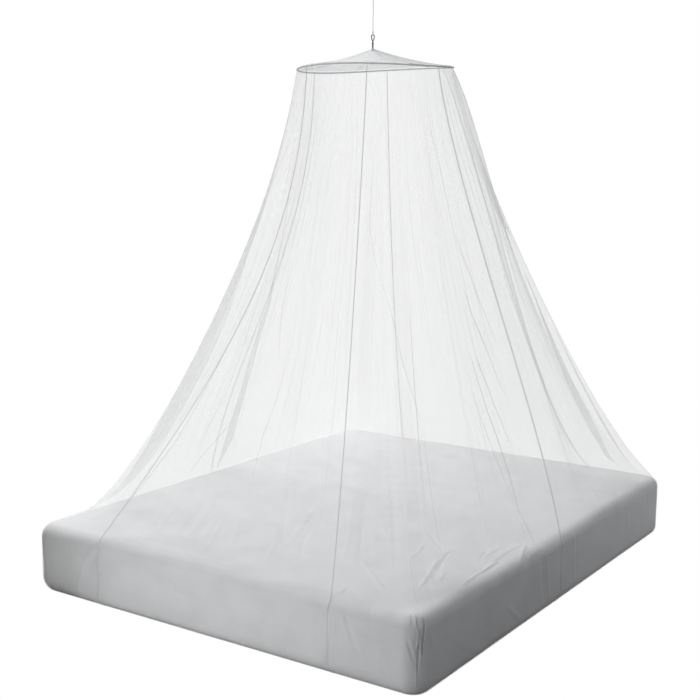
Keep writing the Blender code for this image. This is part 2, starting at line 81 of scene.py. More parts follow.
def soft_light(name, place, aim, width, power):
    data = bpy.data.lights.new(name, "AREA")
    data.shape = "DISK"
    data.size = width
    data.energy = power
    lamp = placed(name, data)
    lamp.location = place
    lamp.visible_camera = False
    lamp.rotation_euler = (Vector(aim) - Vector(place)).to_track_quat("-Z", "Y").to_euler()


soft_light("light_head", (-2.4, 1.2, 4.7), aim=(0.0, 0.0, 0.4), width=3.0, power=262)
soft_light("light_foot", (-0.1, -2.6, 0.80), aim=(0.0, -1.0, 0.15), width=0.9, power=9)
soft_light("light_hoop", (0.8, -2.0, 1.85), aim=(0.0, 0.0, 1.9), width=0.6, power=5.5)
soft_light("light_side", (2.7, 1.7, 0.8), aim=(0.8, 0.8, 0.1), width=0.9, power=6)


def add_node(tree, kind, group=None, **inputs):
    """A shader node. Each input named is given a value, or is linked to another node's output."""
    node = tree.nodes.new("ShaderNode" + kind)
    if kind == "Mix":
        node.data_type = "RGBA"
    if group:
        node.node_tree = group
    for name, value in inputs.items():
        socket = node.inputs[name.replace("_", " ")]
        if isinstance(value, bpy.types.NodeSocket):
            tree.links.new(value, socket)
        else:
            socket.default_value = value
    return node


def new_finish(name, **values):
    """A material with plain values on its shader, the tree of its nodes, and the shader."""
    finish = bpy.data.materials.new(name)
    finish.use_nodes = True
    shader = finish.node_tree.nodes["Principled BSDF"]
    for socket, value in values.items():
        shader.inputs[socket.replace("_", " ")].default_value = value
    return finish, finish.node_tree, shader


def lit_and_seen(tree, light, seen):
    """Mixes what lights the scene with what the camera sees directly."""
    mix = add_node(tree, "MixShader", Fac=add_node(tree, "LightPath").outputs["Is Camera Ray"])
    tree.links.new(light.outputs[0], mix.inputs[1])
    tree.links.new(seen.outputs[0], mix.inputs[2])
    return mix.outputs[0]


surround = bpy.data.worlds.new("surround")
surround.use_nodes = True
bpy.context.scene.world = surround
tree = surround.node_tree
tree.nodes.clear()
dim = add_node(tree, "Background", Color=(0.97, 0.985, 1.0, 1.0), Strength=0.24)
white = add_node(tree, "Background", Color=(1.0, 1.0, 1.0, 1.0), Strength=1.0)
add_node(tree, "OutputWorld", Surface=lit_and_seen(tree, dim, white))


def flat_card(name, low, high):
    """A rectangle between two opposite corners, upright or level."""
    mesh = bpy.data.meshes.new(name)
    corners = (low, (high[0], low[1], low[2]), high, (low[0], high[1], high[2]))
    mesh.from_pydata(corners, [], [(0, 1, 2, 3)])
    return placed(name, mesh)


floor = flat_card("floor", (-30, -30, 0), (30, 30, 0))
floor.location.z = -0.0005
floor_paint, tree, shader = new_finish("floor_paint")
tree.nodes.clear()
matt = add_node(tree, "BsdfDiffuse", Color=(0.28, 0.28, 0.28, 1.0))
glow = add_node(tree, "Emission", Strength=1.0)
add_node(tree, "OutputMaterial", Surface=lit_and_seen(tree, matt, glow))
floor.data.materials.append(floor_paint)

for name, low, high, brightness in (
    ("dark_card", (-1.5, -1.8, 0), (-0.46, -1.8, 1.1), 0.2),
    ("pale_card", (-0.6, -2.0, 0.001), (0.8, -1.0, 0.001), 0.8),
):
    card = flat_card(name, low, high)
    card.visible_camera = False
    grey = (brightness, brightness, brightness, 1.0)
    card_paint, tree, shader = new_finish(name, Base_Color=grey, Roughness=1.0)
    card.data.materials.append(card_paint)

# ---- Cord and its two knotted ends ----
# A thin three-strand twine, pulled taut between the net's hanging loop and the ceiling hook.
# Each end is a ring whipped with four turns, one through the loop's eye, one on the hook.

CORD_PLACE = (-0.039, 0.006)
CORD_FOOT = 2.0320
CORD_HEAD = 2.1721
CORD_RADIUS = 0.0011
LAY_LENGTH = 0.0065  # in which a strand winds once round the twine
STRAND_STEP = 0.0005
EYE_TURN = math.radians(34)
RING_RADIUS = 0.0038
RING_REACH = 0.0049
WHIPPING_RADIUS = 0.0015
WHIPPING_LENGTH = 0.009
WHIPPING_TURNS = 4.0
WHIPPING_STRAND = 0.00108


def new_object(name, vertices, faces):
    """A closed, smooth piece with its faces turned outwards."""
    mesh = bpy.data.meshes.new(name)
    mesh.from_pydata([tuple(map(float, v)) for v in vertices], [], faces)
    work = bmesh.new()
    work.from_mesh(mesh)
    bmesh.ops.recalc_face_normals(work, faces=work.faces)
    work.to_mesh(mesh)
    work.free()
    mesh.shade_smooth()
    return placed(name, mesh)


def grid_faces(rows, columns, ring_rows=False, ring_columns=False):
    """Faces between a grid's points, counted row by row. A ring's last joins its first."""
    faces = []
    for row in range(rows if ring_rows else rows - 1):
        here, after = row * columns, (row + 1) % rows * columns
        for c in range(columns if ring_columns else columns - 1):
            d = (c + 1) % columns
            faces.append((here + c, here + d, after + d, after + c))
    return faces


def tube(points, section, closed=False):
    """A tube along the points. section(k) gives the radii round it at the k-th point."""
    points = np.array(points, float)
    if closed:
        ahead_of = np.roll(points, -1, axis=0) - np.roll(points, 1, axis=0)
    else:
        ahead_of = np.gradient(points, axis=0)
    ahead_of /= np.linalg.norm(ahead_of, axis=1, keepdims=True)
    side = np.cross(ahead_of[0], (0.31, 0.27, 0.91))
    side /= np.linalg.norm(side)
    vertices = []
    for k, (point, tangent) in enumerate(zip(points, ahead_of)):
        side = side - tangent * (side @ tangent)
        side /= np.linalg.norm(side)
        other = np.cross(tangent, side)
        radii = np.asarray(section(k))
        turn = np.arange(len(radii)) * math.tau / len(radii)
        offsets = np.cos(turn)[:, None] * side + np.sin(turn)[:, None] * other
        vertices += list(point + radii[:, None] * offsets)
    rows, count = len(points), len(radii)
    faces = grid_faces(rows, count, ring_rows=closed, ring_columns=True)
    if not closed:
        faces.append(tuple(range(count)))
        faces.append(tuple(range((rows - 1) * count, rows * count)))
    return vertices, faces


def merged(*parts):
    vertices, faces = [], []
    for some, rings in parts:
        faces += [tuple(v + len(vertices) for v in ring) for ring in rings]
        vertices += list(some)
    return vertices, faces


def twisted_strands(radius, corners=18):
    """Radii round a three-strand twine: three lobes that wind round it along its lay."""
    turn = np.arange(corners) * math.tau / corners

    def section(k):
        lobes = np.abs(np.cos(1.5 * (turn - math.tau * k * STRAND_STEP / LAY_LENGTH)))
        return radius * (0.78 + 0.22 * lobes)

    return section


def object_place(tree):
    return add_node(tree, "TexCoord").outputs["Object"]


def tinted(tree, shader, mask, dark, pale):
    """Colours the shader between two tints, as its mask goes from 0 to 1."""
    tint = add_node(tree, "Mix", Factor=mask, A=dark, B=pale)
    tree.links.new(tint.outputs["Result"], shader.inputs["Base Color"])


def raised(tree, shader, relief, strength, distance):
    """Roughens the shader's surface by a mask's relief."""
    bump = add_node(tree, "Bump", Height=relief, Strength=strength, Distance=distance)
    tree.links.new(bump.outputs["Normal"], shader.inputs["Normal"])


twine, tree, shader = new_finish("twine", Roughness=0.72, Sheen_Weight=0.25)
fibre = add_node(tree, "TexNoise", Vector=object_place(tree), Scale=2600.0, Detail=3.0)
tinted(tree, shader, fibre.outputs["Fac"], (0.60, 0.61, 0.63, 1.0), (0.84, 0.85, 0.87, 1.0))
raised(tree, shader, fibre.outputs["Fac"], strength=0.4, distance=0.0002)

cord_rows = round((CORD_HEAD - CORD_FOOT) / STRAND_STEP)
cord_line = [
    (*CORD_PLACE, CORD_FOOT + (CORD_HEAD - CORD_FOOT) * k / cord_rows)
    for k in range(cord_rows + 1)
]
cord = new_object("hanging_cord", *tube(cord_line, twisted_strands(CORD_RADIUS)))
cord.data.materials.append(twine)
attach(cord, "root")
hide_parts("cord")


def knotted_end(name, node, far, near):
    """A ring of cord near height far, closed by a barrel of tight turns that ends at near."""
    x, y = CORD_PLACE
    toward = math.copysign(1.0, near - far)
    ring_height = far + toward * RING_REACH
    start = near - toward * WHIPPING_LENGTH
    ring = [
        (
            x - RING_RADIUS * math.cos(a) * math.sin(EYE_TURN),
            y + RING_RADIUS * math.cos(a) * math.cos(EYE_TURN),
            ring_height + RING_RADIUS * math.sin(a),
        )
        for a in np.linspace(0, math.tau, 48, endpoint=False)
    ]
    barrel = [
        (
            x + WHIPPING_RADIUS * math.cos(math.tau * WHIPPING_TURNS * t),
            y + WHIPPING_RADIUS * math.sin(math.tau * WHIPPING_TURNS * t),
            start + (near - start) * (0.1 + 0.8 * t),
        )
        for t in np.linspace(0, 1, 96)
    ]
    core = [(x, y, start + (near - start) * t) for t in np.linspace(0, 1, 18)]
    lay = twisted_strands(WHIPPING_STRAND, corners=12)
    piece = new_object(
        name, *merged(tube(ring, lay, closed=True), tube(barrel, lay), tube(core, lay))
    )
    piece.data.materials.append(twine)
    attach(piece, "root")
    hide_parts(node)
    return piece


low_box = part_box("cord_hitch_low")
high_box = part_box("cord_hitch_high")
knot_low = knotted_end("knot_at_loop", "cord_hitch_low", low_box[0].z, low_box[1].z)
knot_high = knotted_end("knot_at_hook", "cord_hitch_high", high_box[1].z, high_box[0].z)

# ---- Mattress ----
# A plain foam block in a white fitted sheet, soft at all its edges. The sheet is a little slack:
# it has soft hollows, a few long creases on top and pulled creases down its sides.

WIDTH, LENGTH = 1.60, 2.00
AROUND = 2 * (WIDTH + LENGTH)
CORNER = 0.06  # radius of the upright corners in plan
TIGHTEST_CORNER = 0.012
TOP_EDGE = 0.040
BOTTOM_EDGE = 0.038
BASE = 0.0015  # it lies on the net's tucked hems
TOP = 0.2515
FULLNESS = 0.0031  # how far the sheet stands out from the bare block at its sides
SIDE_RIDGE = 0.0012  # ridges in the sheet's sides are no higher, so they stay inside the net
LOW_RISE = 0.0004  # the most that the sheet's wide hollows and its crumpled sides rise
CORNER_DRAW = 0.0016  # how far the sheet is drawn in at the foot's right-hand corner
CORNER_REACH = 0.075  # along the edge, to either side of that corner
TAUT_BASE = 0.04  # the sheet's slack fades out over this height above its base
THREADS_TO_METRE = 1100.0

# The net's seams: their azimuths on the hoop in degrees, and where they cross the mattress's
# edge, in metres along it from the corner at the foot's left.
SEAMS = (
    (-62.7, 1.282),
    (-5.5, 2.570),
    (58.5, 3.920),
    (113.5, 4.880),
    (177.3, 6.250),
    (244.5, 7.503),
    (297.3, 8.482),
)

# Slack gathered on the mattress's sides: place counted in gores from the first seam, half width
# in gores, and height.
GATHERS = (
    (0.05, 0.30, 0.010),
    (0.21, 0.05, 0.003),
    (0.95, 0.08, 0.004),
    (2.40, 0.12, 0.004),
    (4.08, 0.10, 0.004),
    (4.82, 0.22, 0.009),
    (5.72, 0.25, 0.005),
)

# Creases down the sides, in the sheet and the net alike. For each: half width, height, and the
# points it runs through, as distance along the mattress's edge and height above the floor.
SIDE_CREASES = (
    (0.0140, -0.0016, (1.340, 0.232), (1.400, 0.090)),
    (0.0180, 0.0020, (1.276, 0.210), (1.170, 0.060)),
    (0.0110, 0.0030, (0.300, 0.250), (0.238, 0.150)),
    (0.0110, 0.0028, (0.238, 0.150), (0.196, 0.030)),
    (0.0120, -0.0028, (0.322, 0.240), (0.262, 0.140)),
    (0.0110, 0.0028, (2.159, 0.117), (2.262, 0.033)),
    (0.0090, 0.0040, (2.426, 0.262), (2.476, 0.040)),
    (0.0130, -0.0030, (2.400, 0.250), (2.438, 0.050)),
    (0.0090, 0.0032, (2.675, 0.262), (2.691, 0.050)),
    (0.0110, -0.0025, (2.700, 0.250), (2.712, 0.050)),
    (0.0120, 0.0025, (3.174, 0.250), (3.250, 0.050)),
    (0.0140, -0.0025, (3.420, 0.240), (3.455, 0.060)),
    (0.0120, 0.0030, (4.420, 0.240), (4.440, 0.060)),
    (0.0130, -0.0030, (5.020, 0.250), (4.960, 0.050)),
    (0.0120, 0.0030, (5.640, 0.240), (5.660, 0.050)),
    (0.0120, -0.0030, (6.320, 0.250), (6.270, 0.050)),
    (0.0130, 0.0028, (6.800, 0.240), (6.830, 0.060)),
)

# Narrow creases in the sheet alone, on its sides, laid out in the same way. The gathers at the
# foot's right-hand corner are the sharpest.
SHEET_CREASES = (
    (0.0090, 0.0040, (0.382, 0.250), (0.533, 0.245), (0.734, 0.248)),
    (0.0090, 0.0036, (0.734, 0.248), (0.839, 0.250)),
    (0.0090, 0.0028, (0.964, 0.244), (1.117, 0.248), (1.246, 0.251)),
    (0.0240, -0.0040, (0.300, 0.100), (0.560, 0.065)),
    (0.0200, -0.0060, (0.420, 0.180), (0.780, 0.145)),
    (0.0180, -0.0030, (0.620, 0.130), (0.740, 0.075)),
    (0.0220, -0.0036, (0.780, 0.085), (1.120, 0.060)),
    (0.0200, -0.0060, (0.830, 0.200), (1.130, 0.150)),
    (0.0160, -0.0030, (0.960, 0.130), (1.180, 0.095)),
    (0.0180, -0.0030, (1.380, 0.190), (1.520, 0.130)),
    (0.0200, -0.0040, (0.160, 0.190), (0.330, 0.130)),
    (0.0080, -0.0032, (1.311, 0.181), (1.322, 0.145), (1.341, 0.090)),
    (0.0096, 0.0030, (1.325, 0.171), (1.337, 0.131), (1.352, 0.090)),
    (0.0080, -0.0028, (1.346, 0.216), (1.358, 0.172), (1.377, 0.128)),
    (0.0080, 0.0023, (1.335, 0.223), (1.347, 0.183)),
    (0.0080, 0.0025, (1.293, 0.209), (1.289, 0.164), (1.282, 0.123)),
    (0.0080, -0.0025, (1.267, 0.113), (1.272, 0.064), (1.280, 0.010)),
    (0.0096, 0.0025, (1.275, 0.077), (1.290, 0.042), (1.286, 0.005)),
    (0.0096, -0.0025, (1.308, 0.073), (1.327, 0.042), (1.324, 0.002)),
    (0.0096, 0.0021, (1.326, 0.090), (1.345, 0.044)),
    (0.0096, -0.0021, (1.421, 0.243), (1.432, 0.209), (1.436, 0.167)),
    (0.0096, -0.0021, (1.458, 0.135), (1.458, 0.092)),
    (0.0096, -0.0021, (1.472, 0.107), (1.490, 0.050)),
    (0.0045, 0.0026, (1.555, 0.170), (1.566, 0.136), (1.581, 0.110)),
    (0.0045, -0.0024, (1.558, 0.188), (1.577, 0.141)),
    (0.0045, 0.0024, (1.573, 0.183), (1.584, 0.154), (1.591, 0.123)),
    (0.0035, 0.0030, (1.587, 0.248), (1.589, 0.224), (1.597, 0.207), (1.597, 0.180), (1.591, 0.154)),
    (0.0030, -0.0030, (1.595, 0.241), (1.596, 0.220)),
    (0.0030, -0.0024, (1.566, 0.247), (1.579, 0.224)),
    (0.0050, -0.0060, (1.624, 0.236), (1.619, 0.206), (1.614, 0.170), (1.613, 0.133)),
    (0.0035, 0.0032, (1.608, 0.183), (1.609, 0.152), (1.606, 0.110)),
    (0.0035, -0.0034, (1.599, 0.171), (1.598, 0.129), (1.596, 0.086)),
    (0.0040, 0.0016, (1.592, 0.099), (1.593, 0.044)),
    (0.0096, 0.0039, (1.690, 0.168), (1.750, 0.123), (1.820, 0.076), (1.954, 0.002)),
    (0.0096, -0.0028, (1.719, 0.152), (1.800, 0.100), (1.872, 0.055)),
    (0.0096, -0.0034, (1.642, 0.177), (1.662, 0.135)),
    (0.0096, 0.0028, (1.665, 0.177), (1.679, 0.129)),
    (0.0112, -0.0025, (1.673, 0.119), (1.716, 0.070)),
    (0.0112, 0.0023, (1.656, 0.100), (1.694, 0.024)),
    (0.0140, -0.0022, (2.335, 0.227), (2.400, 0.227)),
    (0.0140, -0.0016, (4.735, 0.238), (4.795, 0.238)),
    (0.0140, -0.0010, (6.700, 0.226), (6.770, 0.226)),
    (0.0112, 0.0025, (1.823, 0.152), (1.962, 0.103), (2.091, 0.030)),
)

# Long soft creases in the sheet on top, laid out in plan.
TOP_CREASES = (
    (0.0126, 0.0035, (-0.468, -0.418), (-0.367, -0.605), (-0.249, -0.814)),
    (0.0115, -0.0031, (-0.493, -0.436), (-0.396, -0.626), (-0.296, -0.792)),
    (0.0115, 0.0031, (-0.280, -0.589), (-0.195, -0.733), (-0.115, -0.879)),
    (0.0126, -0.0024, (-0.337, -0.584), (-0.267, -0.714), (-0.175, -0.856)),
    (0.0103, 0.0028, (-0.238, -0.543), (-0.157, -0.664), (-0.071, -0.795)),
    (0.0092, 0.0024, (-0.083, -0.523), (0.031, -0.682), (0.124, -0.847)),
    (0.0092, -0.0024, (-0.110, -0.452), (0.049, -0.656)),
    (0.0126, 0.0035, (-0.108, -0.259), (-0.014, -0.459), (0.072, -0.652)),
    (0.0115, -0.0031, (0.011, -0.426), (0.092, -0.598), (0.204, -0.778)),
    (0.0115, 0.0024, (-0.574, -0.494), (-0.474, -0.682), (-0.381, -0.824)),
    (0.0115, 0.0020, (-0.521, -0.131), (-0.386, -0.324)),
    (0.0115, -0.0024, (-0.353, -0.085), (-0.169, -0.368)),
    (0.0103, -0.0028, (0.077, 0.010), (0.218, -0.216), (0.340, -0.393)),
    (0.0103, 0.0024, (0.152, -0.201), (0.256, -0.339), (0.317, -0.409)),
    (0.0080, -0.0052, (0.568, -0.430), (0.598, -0.522), (0.619, -0.592)),
    (0.0103, 0.0046, (0.574, -0.514), (0.619, -0.638), (0.663, -0.775)),
    (0.0103, -0.0031, (0.617, -0.569), (0.651, -0.673)),
    (0.0092, -0.0038, (0.399, -0.265), (0.493, -0.365), (0.531, -0.405)),
    (0.0092, -0.0028, (0.568, -0.430), (0.580, -0.396)),
    (0.0103, 0.0031, (0.448, -0.384), (0.481, -0.480), (0.491, -0.549)),
    (0.0103, 0.0031, (0.654, -0.602), (0.682, -0.696)),
    (0.0115, 0.0035, (0.756, -0.676), (0.747, -0.512), (0.725, -0.356), (0.726, -0.213)),
    (0.0080, 0.0035, (0.755, -0.542), (0.745, -0.417)),
    (0.0103, 0.0031, (0.685, -0.436), (0.684, -0.348), (0.681, -0.245)),
    (0.0092, 0.0046, (0.817, -0.415), (0.783, -0.315), (0.747, -0.210)),
    (0.0092, -0.0038, (0.690, -0.432), (0.668, -0.346)),
    (0.0080, -0.0046, (0.485, -0.901), (0.499, -0.955)),
    (0.0080, -0.0031, (0.497, -0.914), (0.539, -0.927)),
    (0.0115, 0.0031, (0.373, -0.658), (0.479, -0.761), (0.582, -0.854)),
    (0.0138, 0.0028, (-0.052, -0.084), (0.157, -0.409), (0.324, -0.693)),
    (0.0138, -0.0024, (-0.039, -0.004), (0.192, -0.384), (0.367, -0.662)),
    (0.0126, 0.0024, (0.131, 0.049), (0.280, -0.233)),
    (0.0200, 0.0030, (-0.773, -0.054), (-0.674, 0.060)),
    (0.0200, 0.0036, (-0.674, 0.060), (-0.463, 0.048), (-0.235, 0.115)),
    (0.0240, 0.0026, (-0.235, 0.115), (0.180, 0.130)),
    (0.0340, 0.0022, (0.300, 0.250), (0.640, 0.120)),
    (0.0500, 0.0022, (-0.500, 0.420), (0.100, 0.560)),
    (0.0400, -0.0022, (0.220, 0.700), (0.600, 0.520)),
    (0.0300, 0.0020, (-0.640, -0.780), (-0.480, -0.900)),
    (0.0138, 0.0028, (-0.360, -0.905), (0.080, -0.930)),
    (0.0115, -0.0024, (-0.300, -0.935), (0.040, -0.950)),
)


def plan(distance, outset):
    """Points and outward directions on the mattress's plan, moved out by outset."""
    distance = np.asarray(distance, float) % AROUND
    outset = np.broadcast_to(np.asarray(outset, float), distance.shape)
    ends = np.array((WIDTH, WIDTH + LENGTH, 2 * WIDTH + LENGTH, AROUND))
    side = np.minimum(np.searchsorted(ends, distance, side="left"), 3)
    length = np.where(side % 2 == 0, WIDTH, LENGTH)
    distance = distance - (ends[side] - length)
    reach = np.where(side % 2 == 0, LENGTH, WIDTH) / 2 + outset
    radius = np.maximum(CORNER + outset, TIGHTEST_CORNER)
    half = length / 2 + outset - radius
    inside = np.clip((distance - CORNER) / (length - 2 * CORNER), 0, 1)
    turn = np.radians(
        45 * np.clip(distance / CORNER - 1, -1, 0)
        + 45 * np.clip((distance - length + CORNER) / CORNER, 0, 1)
    )
    middle = np.radians(90 * side - 90)
    facing = middle + turn
    out = np.stack((np.cos(middle), np.sin(middle)), -1)
    forward = np.stack((-np.sin(middle), np.cos(middle)), -1)
    direction = np.stack((np.cos(facing), np.sin(facing)), -1)
    points = (
        out * (reach - radius)[..., None]
        + forward * (half * (2 * inside - 1))[..., None]
        + direction * radius[..., None]
    )
    return points, direction


def ease(x):
    x = np.clip(x, 0.0, 1.0)
    return x * x * (3.0 - 2.0 * x)


def swell(away, half):
    return np.cos(np.clip(np.abs(away) / half, 0, 1) * math.pi / 2) ** 2


def away_from(place, middle):
    return (place - middle + 3) % 6 - 3


def crease_field(along, up, creases):
    """Heights of creases that run straight from point to point of a flat layout."""
    total = np.zeros(np.broadcast(along, up).shape)
    for half, height, *points in creases:
        for start, end in zip(points, points[1:]):
            run = np.subtract(end, start)
            length = np.linalg.norm(run)
            share = ((along - start[0]) * run[0] + (up - start[1]) * run[1]) / length**2
            off = ((along - start[0]) * run[1] - (up - start[1]) * run[0]) / length
            ends = ease((share + 0.12) / 0.3) * ease((1.12 - share) / 0.3)
            total += height * swell(off, half) * ends
    return total


def gathered(distance):
    place = np.interp(
        (distance - SEAMS[0][1]) % AROUND + SEAMS[0][1], [row[1] for row in SEAMS], range(7)
    )
    return sum(height * swell(away_from(place, at), half) for at, half, height in GATHERS)


def side_lift(distance, height):
    """How far the sheet and the net stand out at the sides, where the slack is gathered."""
    between = ease((height - 0.012) / 0.05) * ease((TOP + 0.004 - height) / 0.05)
    lift = gathered(distance) * between
    return lift + crease_field(distance % AROUND, height, SIDE_CREASES) * between


def soft_waves(points, count, longest, shortest, height, draw):
    """Smooth uneven heights at the points, from waves in random directions."""
    total = np.zeros(len(points))
    for _ in range(count):
        wave = math.exp(draw.uniform(math.log(shortest), math.log(longest)))
        direction = draw.normal(size=3)
        direction /= np.linalg.norm(direction)
        total += np.sin(points @ direction * math.tau / wave + draw.uniform(0, math.tau)) * wave
    return total * height / max(np.abs(total).max(), 1e-9)


def spaced(*stretches):
    """Places along a line. Each stretch gives its start, its end and its number of steps."""
    runs = [np.linspace(start, end, steps, endpoint=False) for start, end, steps in stretches]
    return np.concatenate((*runs, [stretches[-1][1]]))


# Lines of the mesh across and along the mattress. They lie closest at the foot's right corner.
across_lines = spaced((0, 0.06, 8), (0.06, 1.25, 155), (1.25, 1.53, 59), (1.53, WIDTH, 25))
along_lines = spaced((0, 0.07, 23), (0.07, 1.12, 140), (1.12, 1.94, 56), (1.94, LENGTH, 7))
stops = np.concatenate(
    (
        across_lines[:-1],
        WIDTH + along_lines[:-1],
        WIDTH + LENGTH + (WIDTH - across_lines)[::-1][:-1],
        2 * WIDTH + LENGTH + (LENGTH - along_lines)[::-1][:-1],
    )
)
SIDE_LINES = 18
low_bend, high_bend = np.linspace(0, 90, 7), np.linspace(90, 0, 11)
mattress_rows = [
    (-BOTTOM_EDGE * (1 - math.sin(a)), BASE + BOTTOM_EDGE * (1 - math.cos(a)))
    for a in np.radians(low_bend)
]
side_heights = np.linspace(BASE + BOTTOM_EDGE, TOP - TOP_EDGE, SIDE_LINES + 2)[1:-1]
mattress_rows += [(0.0, z) for z in side_heights]
mattress_rows += [
    (-TOP_EDGE * (1 - math.sin(a)), TOP - TOP_EDGE * (1 - math.cos(a)))
    for a in np.radians(high_bend)
]
tilt = np.radians(np.concatenate((low_bend - 90, np.zeros(SIDE_LINES), 90 - high_bend)))[:, None]
rings = np.array(
    [
        np.column_stack((plan(stops, outset)[0], np.full(len(stops), z)))
        for outset, z in mattress_rows
    ]
)
outward = np.array([plan(stops, outset)[1] for outset, z in mattress_rows])
facing = np.concatenate(
    (
        outward * np.cos(tilt)[..., None],
        np.broadcast_to(np.sin(tilt)[..., None], outward[..., :1].shape),
    ),
    axis=2,
)
count = len(stops)
columns, lines = len(across_lines) - 1, len(along_lines) - 1
rim = (len(rings) - 1) * count + np.arange(count)
index = np.zeros((columns + 1, lines + 1), int)
index[:, 0] = rim[: columns + 1]
index[columns, :] = rim[columns : columns + lines + 1]
index[:, lines] = rim[columns + lines : 2 * columns + lines + 1][::-1]
index[0, :] = rim[np.arange(2 * columns + lines, 2 * columns + 2 * lines + 1) % count][::-1]
index[1:-1, 1:-1] = rings.shape[0] * count + np.arange((columns - 1) * (lines - 1)).reshape(
    columns - 1, lines - 1
)
edge_points = rings.reshape(-1, 3)
near, far = edge_points[index[:, 0]][:, None], edge_points[index[:, lines]][:, None]
left, right_edge = edge_points[index[0, :]][None], edge_points[index[columns, :]][None]
u = (near[:, :, :1] - near[:1, :, :1]) / (near[-1:, :, :1] - near[:1, :, :1])
v = (left[:, :, 1:2] - left[:, :1, 1:2]) / (left[:, -1:, 1:2] - left[:, :1, 1:2])
top_panel = (1 - v) * near + v * far + (1 - u) * left + u * right_edge
top_panel -= (1 - u) * (1 - v) * near[:1] + u * (1 - v) * near[-1:]
top_panel -= (1 - u) * v * far[:1] + u * v * far[-1:]
top_panel = top_panel[1:-1, 1:-1].reshape(-1, 3)

off_base = np.clip((rings[..., 2] - BASE) / TAUT_BASE, 0, 1)
on_side = np.cos(tilt) * off_base
at_corner = swell(stops - WIDTH, CORNER_REACH)
narrow = crease_field(stops[None, :], rings[..., 2], SHEET_CREASES) * off_base
narrow = np.where(narrow > 0, np.tanh(narrow / SIDE_RIDGE) * SIDE_RIDGE, narrow)
narrow = narrow * (1 + at_corner) - CORNER_DRAW * at_corner * on_side
fullness = (FULLNESS + side_lift(stops[None, :], rings[..., 2])) * on_side + narrow
everywhere = np.concatenate((edge_points, top_panel))
# The sheet's wide hollows, then its small crumples, both at random.
hollow = soft_waves(
    everywhere, count=30, longest=0.9, shortest=0.14, height=0.0011, draw=np.random.default_rng(7)
)
crumpled = np.minimum(hollow, LOW_RISE) + soft_waves(
    everywhere, count=60, longest=0.18, shortest=0.05, height=0.0026, draw=np.random.default_rng(31)
)
top_lift = crease_field(everywhere[:, 0], everywhere[:, 1], TOP_CREASES)
level = np.sin(np.clip(tilt, 0, None))
rumpled = crumpled[: fullness.size].reshape(fullness.shape)
pressed = np.minimum(rumpled - LOW_RISE, LOW_RISE)
fullness += (pressed + (rumpled - pressed) * level**2) * off_base
fullness += top_lift[: fullness.size].reshape(fullness.shape) * level**2
rings += facing * fullness[..., None]
top_panel[:, 2] += (top_lift + crumpled)[fullness.size :]
faces = grid_faces(len(rings), count, ring_columns=True)
faces.append(tuple(range(count))[::-1])
quads = np.stack((index[:-1, :-1], index[1:, :-1], index[1:, 1:], index[:-1, 1:]), -1)
faces += quads.reshape(-1, 4).tolist()
mattress = new_object(
    "mattress_in_sheet", np.concatenate((rings.reshape(-1, 3), top_panel)), faces
)


def new_group(name, inputs, outputs):
    """A group of shader nodes, with the sockets of its way in and its way out."""
    group = bpy.data.node_groups.new(name, "ShaderNodeTree")
    for socket, kind in inputs.items():
        group.interface.new_socket(socket, in_out="INPUT", socket_type="NodeSocket" + kind)
    for socket in outputs:
        group.interface.new_socket(socket, in_out="OUTPUT", socket_type="NodeSocketFloat")
    way_in = group.nodes.new("NodeGroupInput")
    way_out = group.nodes.new("NodeGroupOutput")
    return group, way_in.outputs, way_out.inputs


def math_node(tree, operation, *values, clamp=False):
    """The result of a sum on values and other nodes' outputs."""
    node = tree.nodes.new("ShaderNodeMath")
    node.operation = operation
    node.use_clamp = clamp
    for socket, value in zip(node.inputs, values):
        if isinstance(value, bpy.types.NodeSocket):
            tree.links.new(value, socket)
        else:
            socket.default_value = value
    return node.outputs[0]


def weave_group():
    """A plain weave as a mask, two sets of crossing threads, and its slubs as another."""
    group, way_in, way_out = new_group("plain_weave", {"Place": "Vector"}, ("Threads", "Slubs"))
    heights = []
    for axis in ("X", "Y"):
        wave = add_node(
            group,
            "TexWave",
            Vector=way_in["Place"],
            Scale=THREADS_TO_METRE * math.tau / 20.0,
            Distortion=0.3,
            Detail=1.0,
        )
        wave.bands_direction = axis
        heights.append(wave.outputs["Fac"])
    group.links.new(math_node(group, "MAXIMUM", *heights), way_out["Threads"])
    slub = add_node(group, "TexNoise", Vector=way_in["Place"], Scale=11.0, Detail=5.0)
    group.links.new(slub.outputs["Fac"], way_out["Slubs"])
    return group


plain_weave = weave_group()
sheet_cotton, tree, shader = new_finish("sheet_cotton", Roughness=0.88, Sheen_Weight=0.15)
place = object_place(tree)
weave = add_node(tree, "Group", group=plain_weave, Place=place)
tint = add_node(
    tree,
    "Mix",
    Factor=weave.outputs["Slubs"],
    A=(0.64, 0.64, 0.645, 1.0),
    B=(0.83, 0.83, 0.835, 1.0),
)
parts = add_node(tree, "SeparateXYZ", Vector=place)
# The sheet's head half, beyond y = 0.035 to 0.085 m, is painted 4 per cent brighter: painted light.
head_half_painted_light = add_node(tree, "MapRange", Value=parts.outputs["Y"], From_Min=0.035, From_Max=0.085)
head_half_painted_light.interpolation_type = "SMOOTHSTEP"
painted_head_light = add_node(
    tree,
    "Mix",
    Factor=head_half_painted_light.outputs["Result"],
    A=tint.outputs["Result"],
    B=(1.04, 1.04, 1.04, 1.0),
)
painted_head_light.blend_type = "MULTIPLY"
painted_head_light.clamp_result = False
tree.links.new(painted_head_light.outputs["Result"], shader.inputs["Base Color"])
raised(tree, shader, weave.outputs["Threads"], strength=0.25, distance=0.0003)
mattress.data.materials.append(sheet_cotton)
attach(mattress, "root")
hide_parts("mattress")

# ---- Net wall ----
# Six tapered gores of fine white polyester net. They hang from the hoop's casing, bend over the
# mattress's edge, run down its sides and are tucked in flat under it, so the slack falls into
# long fine folds that fan out from the hoop.

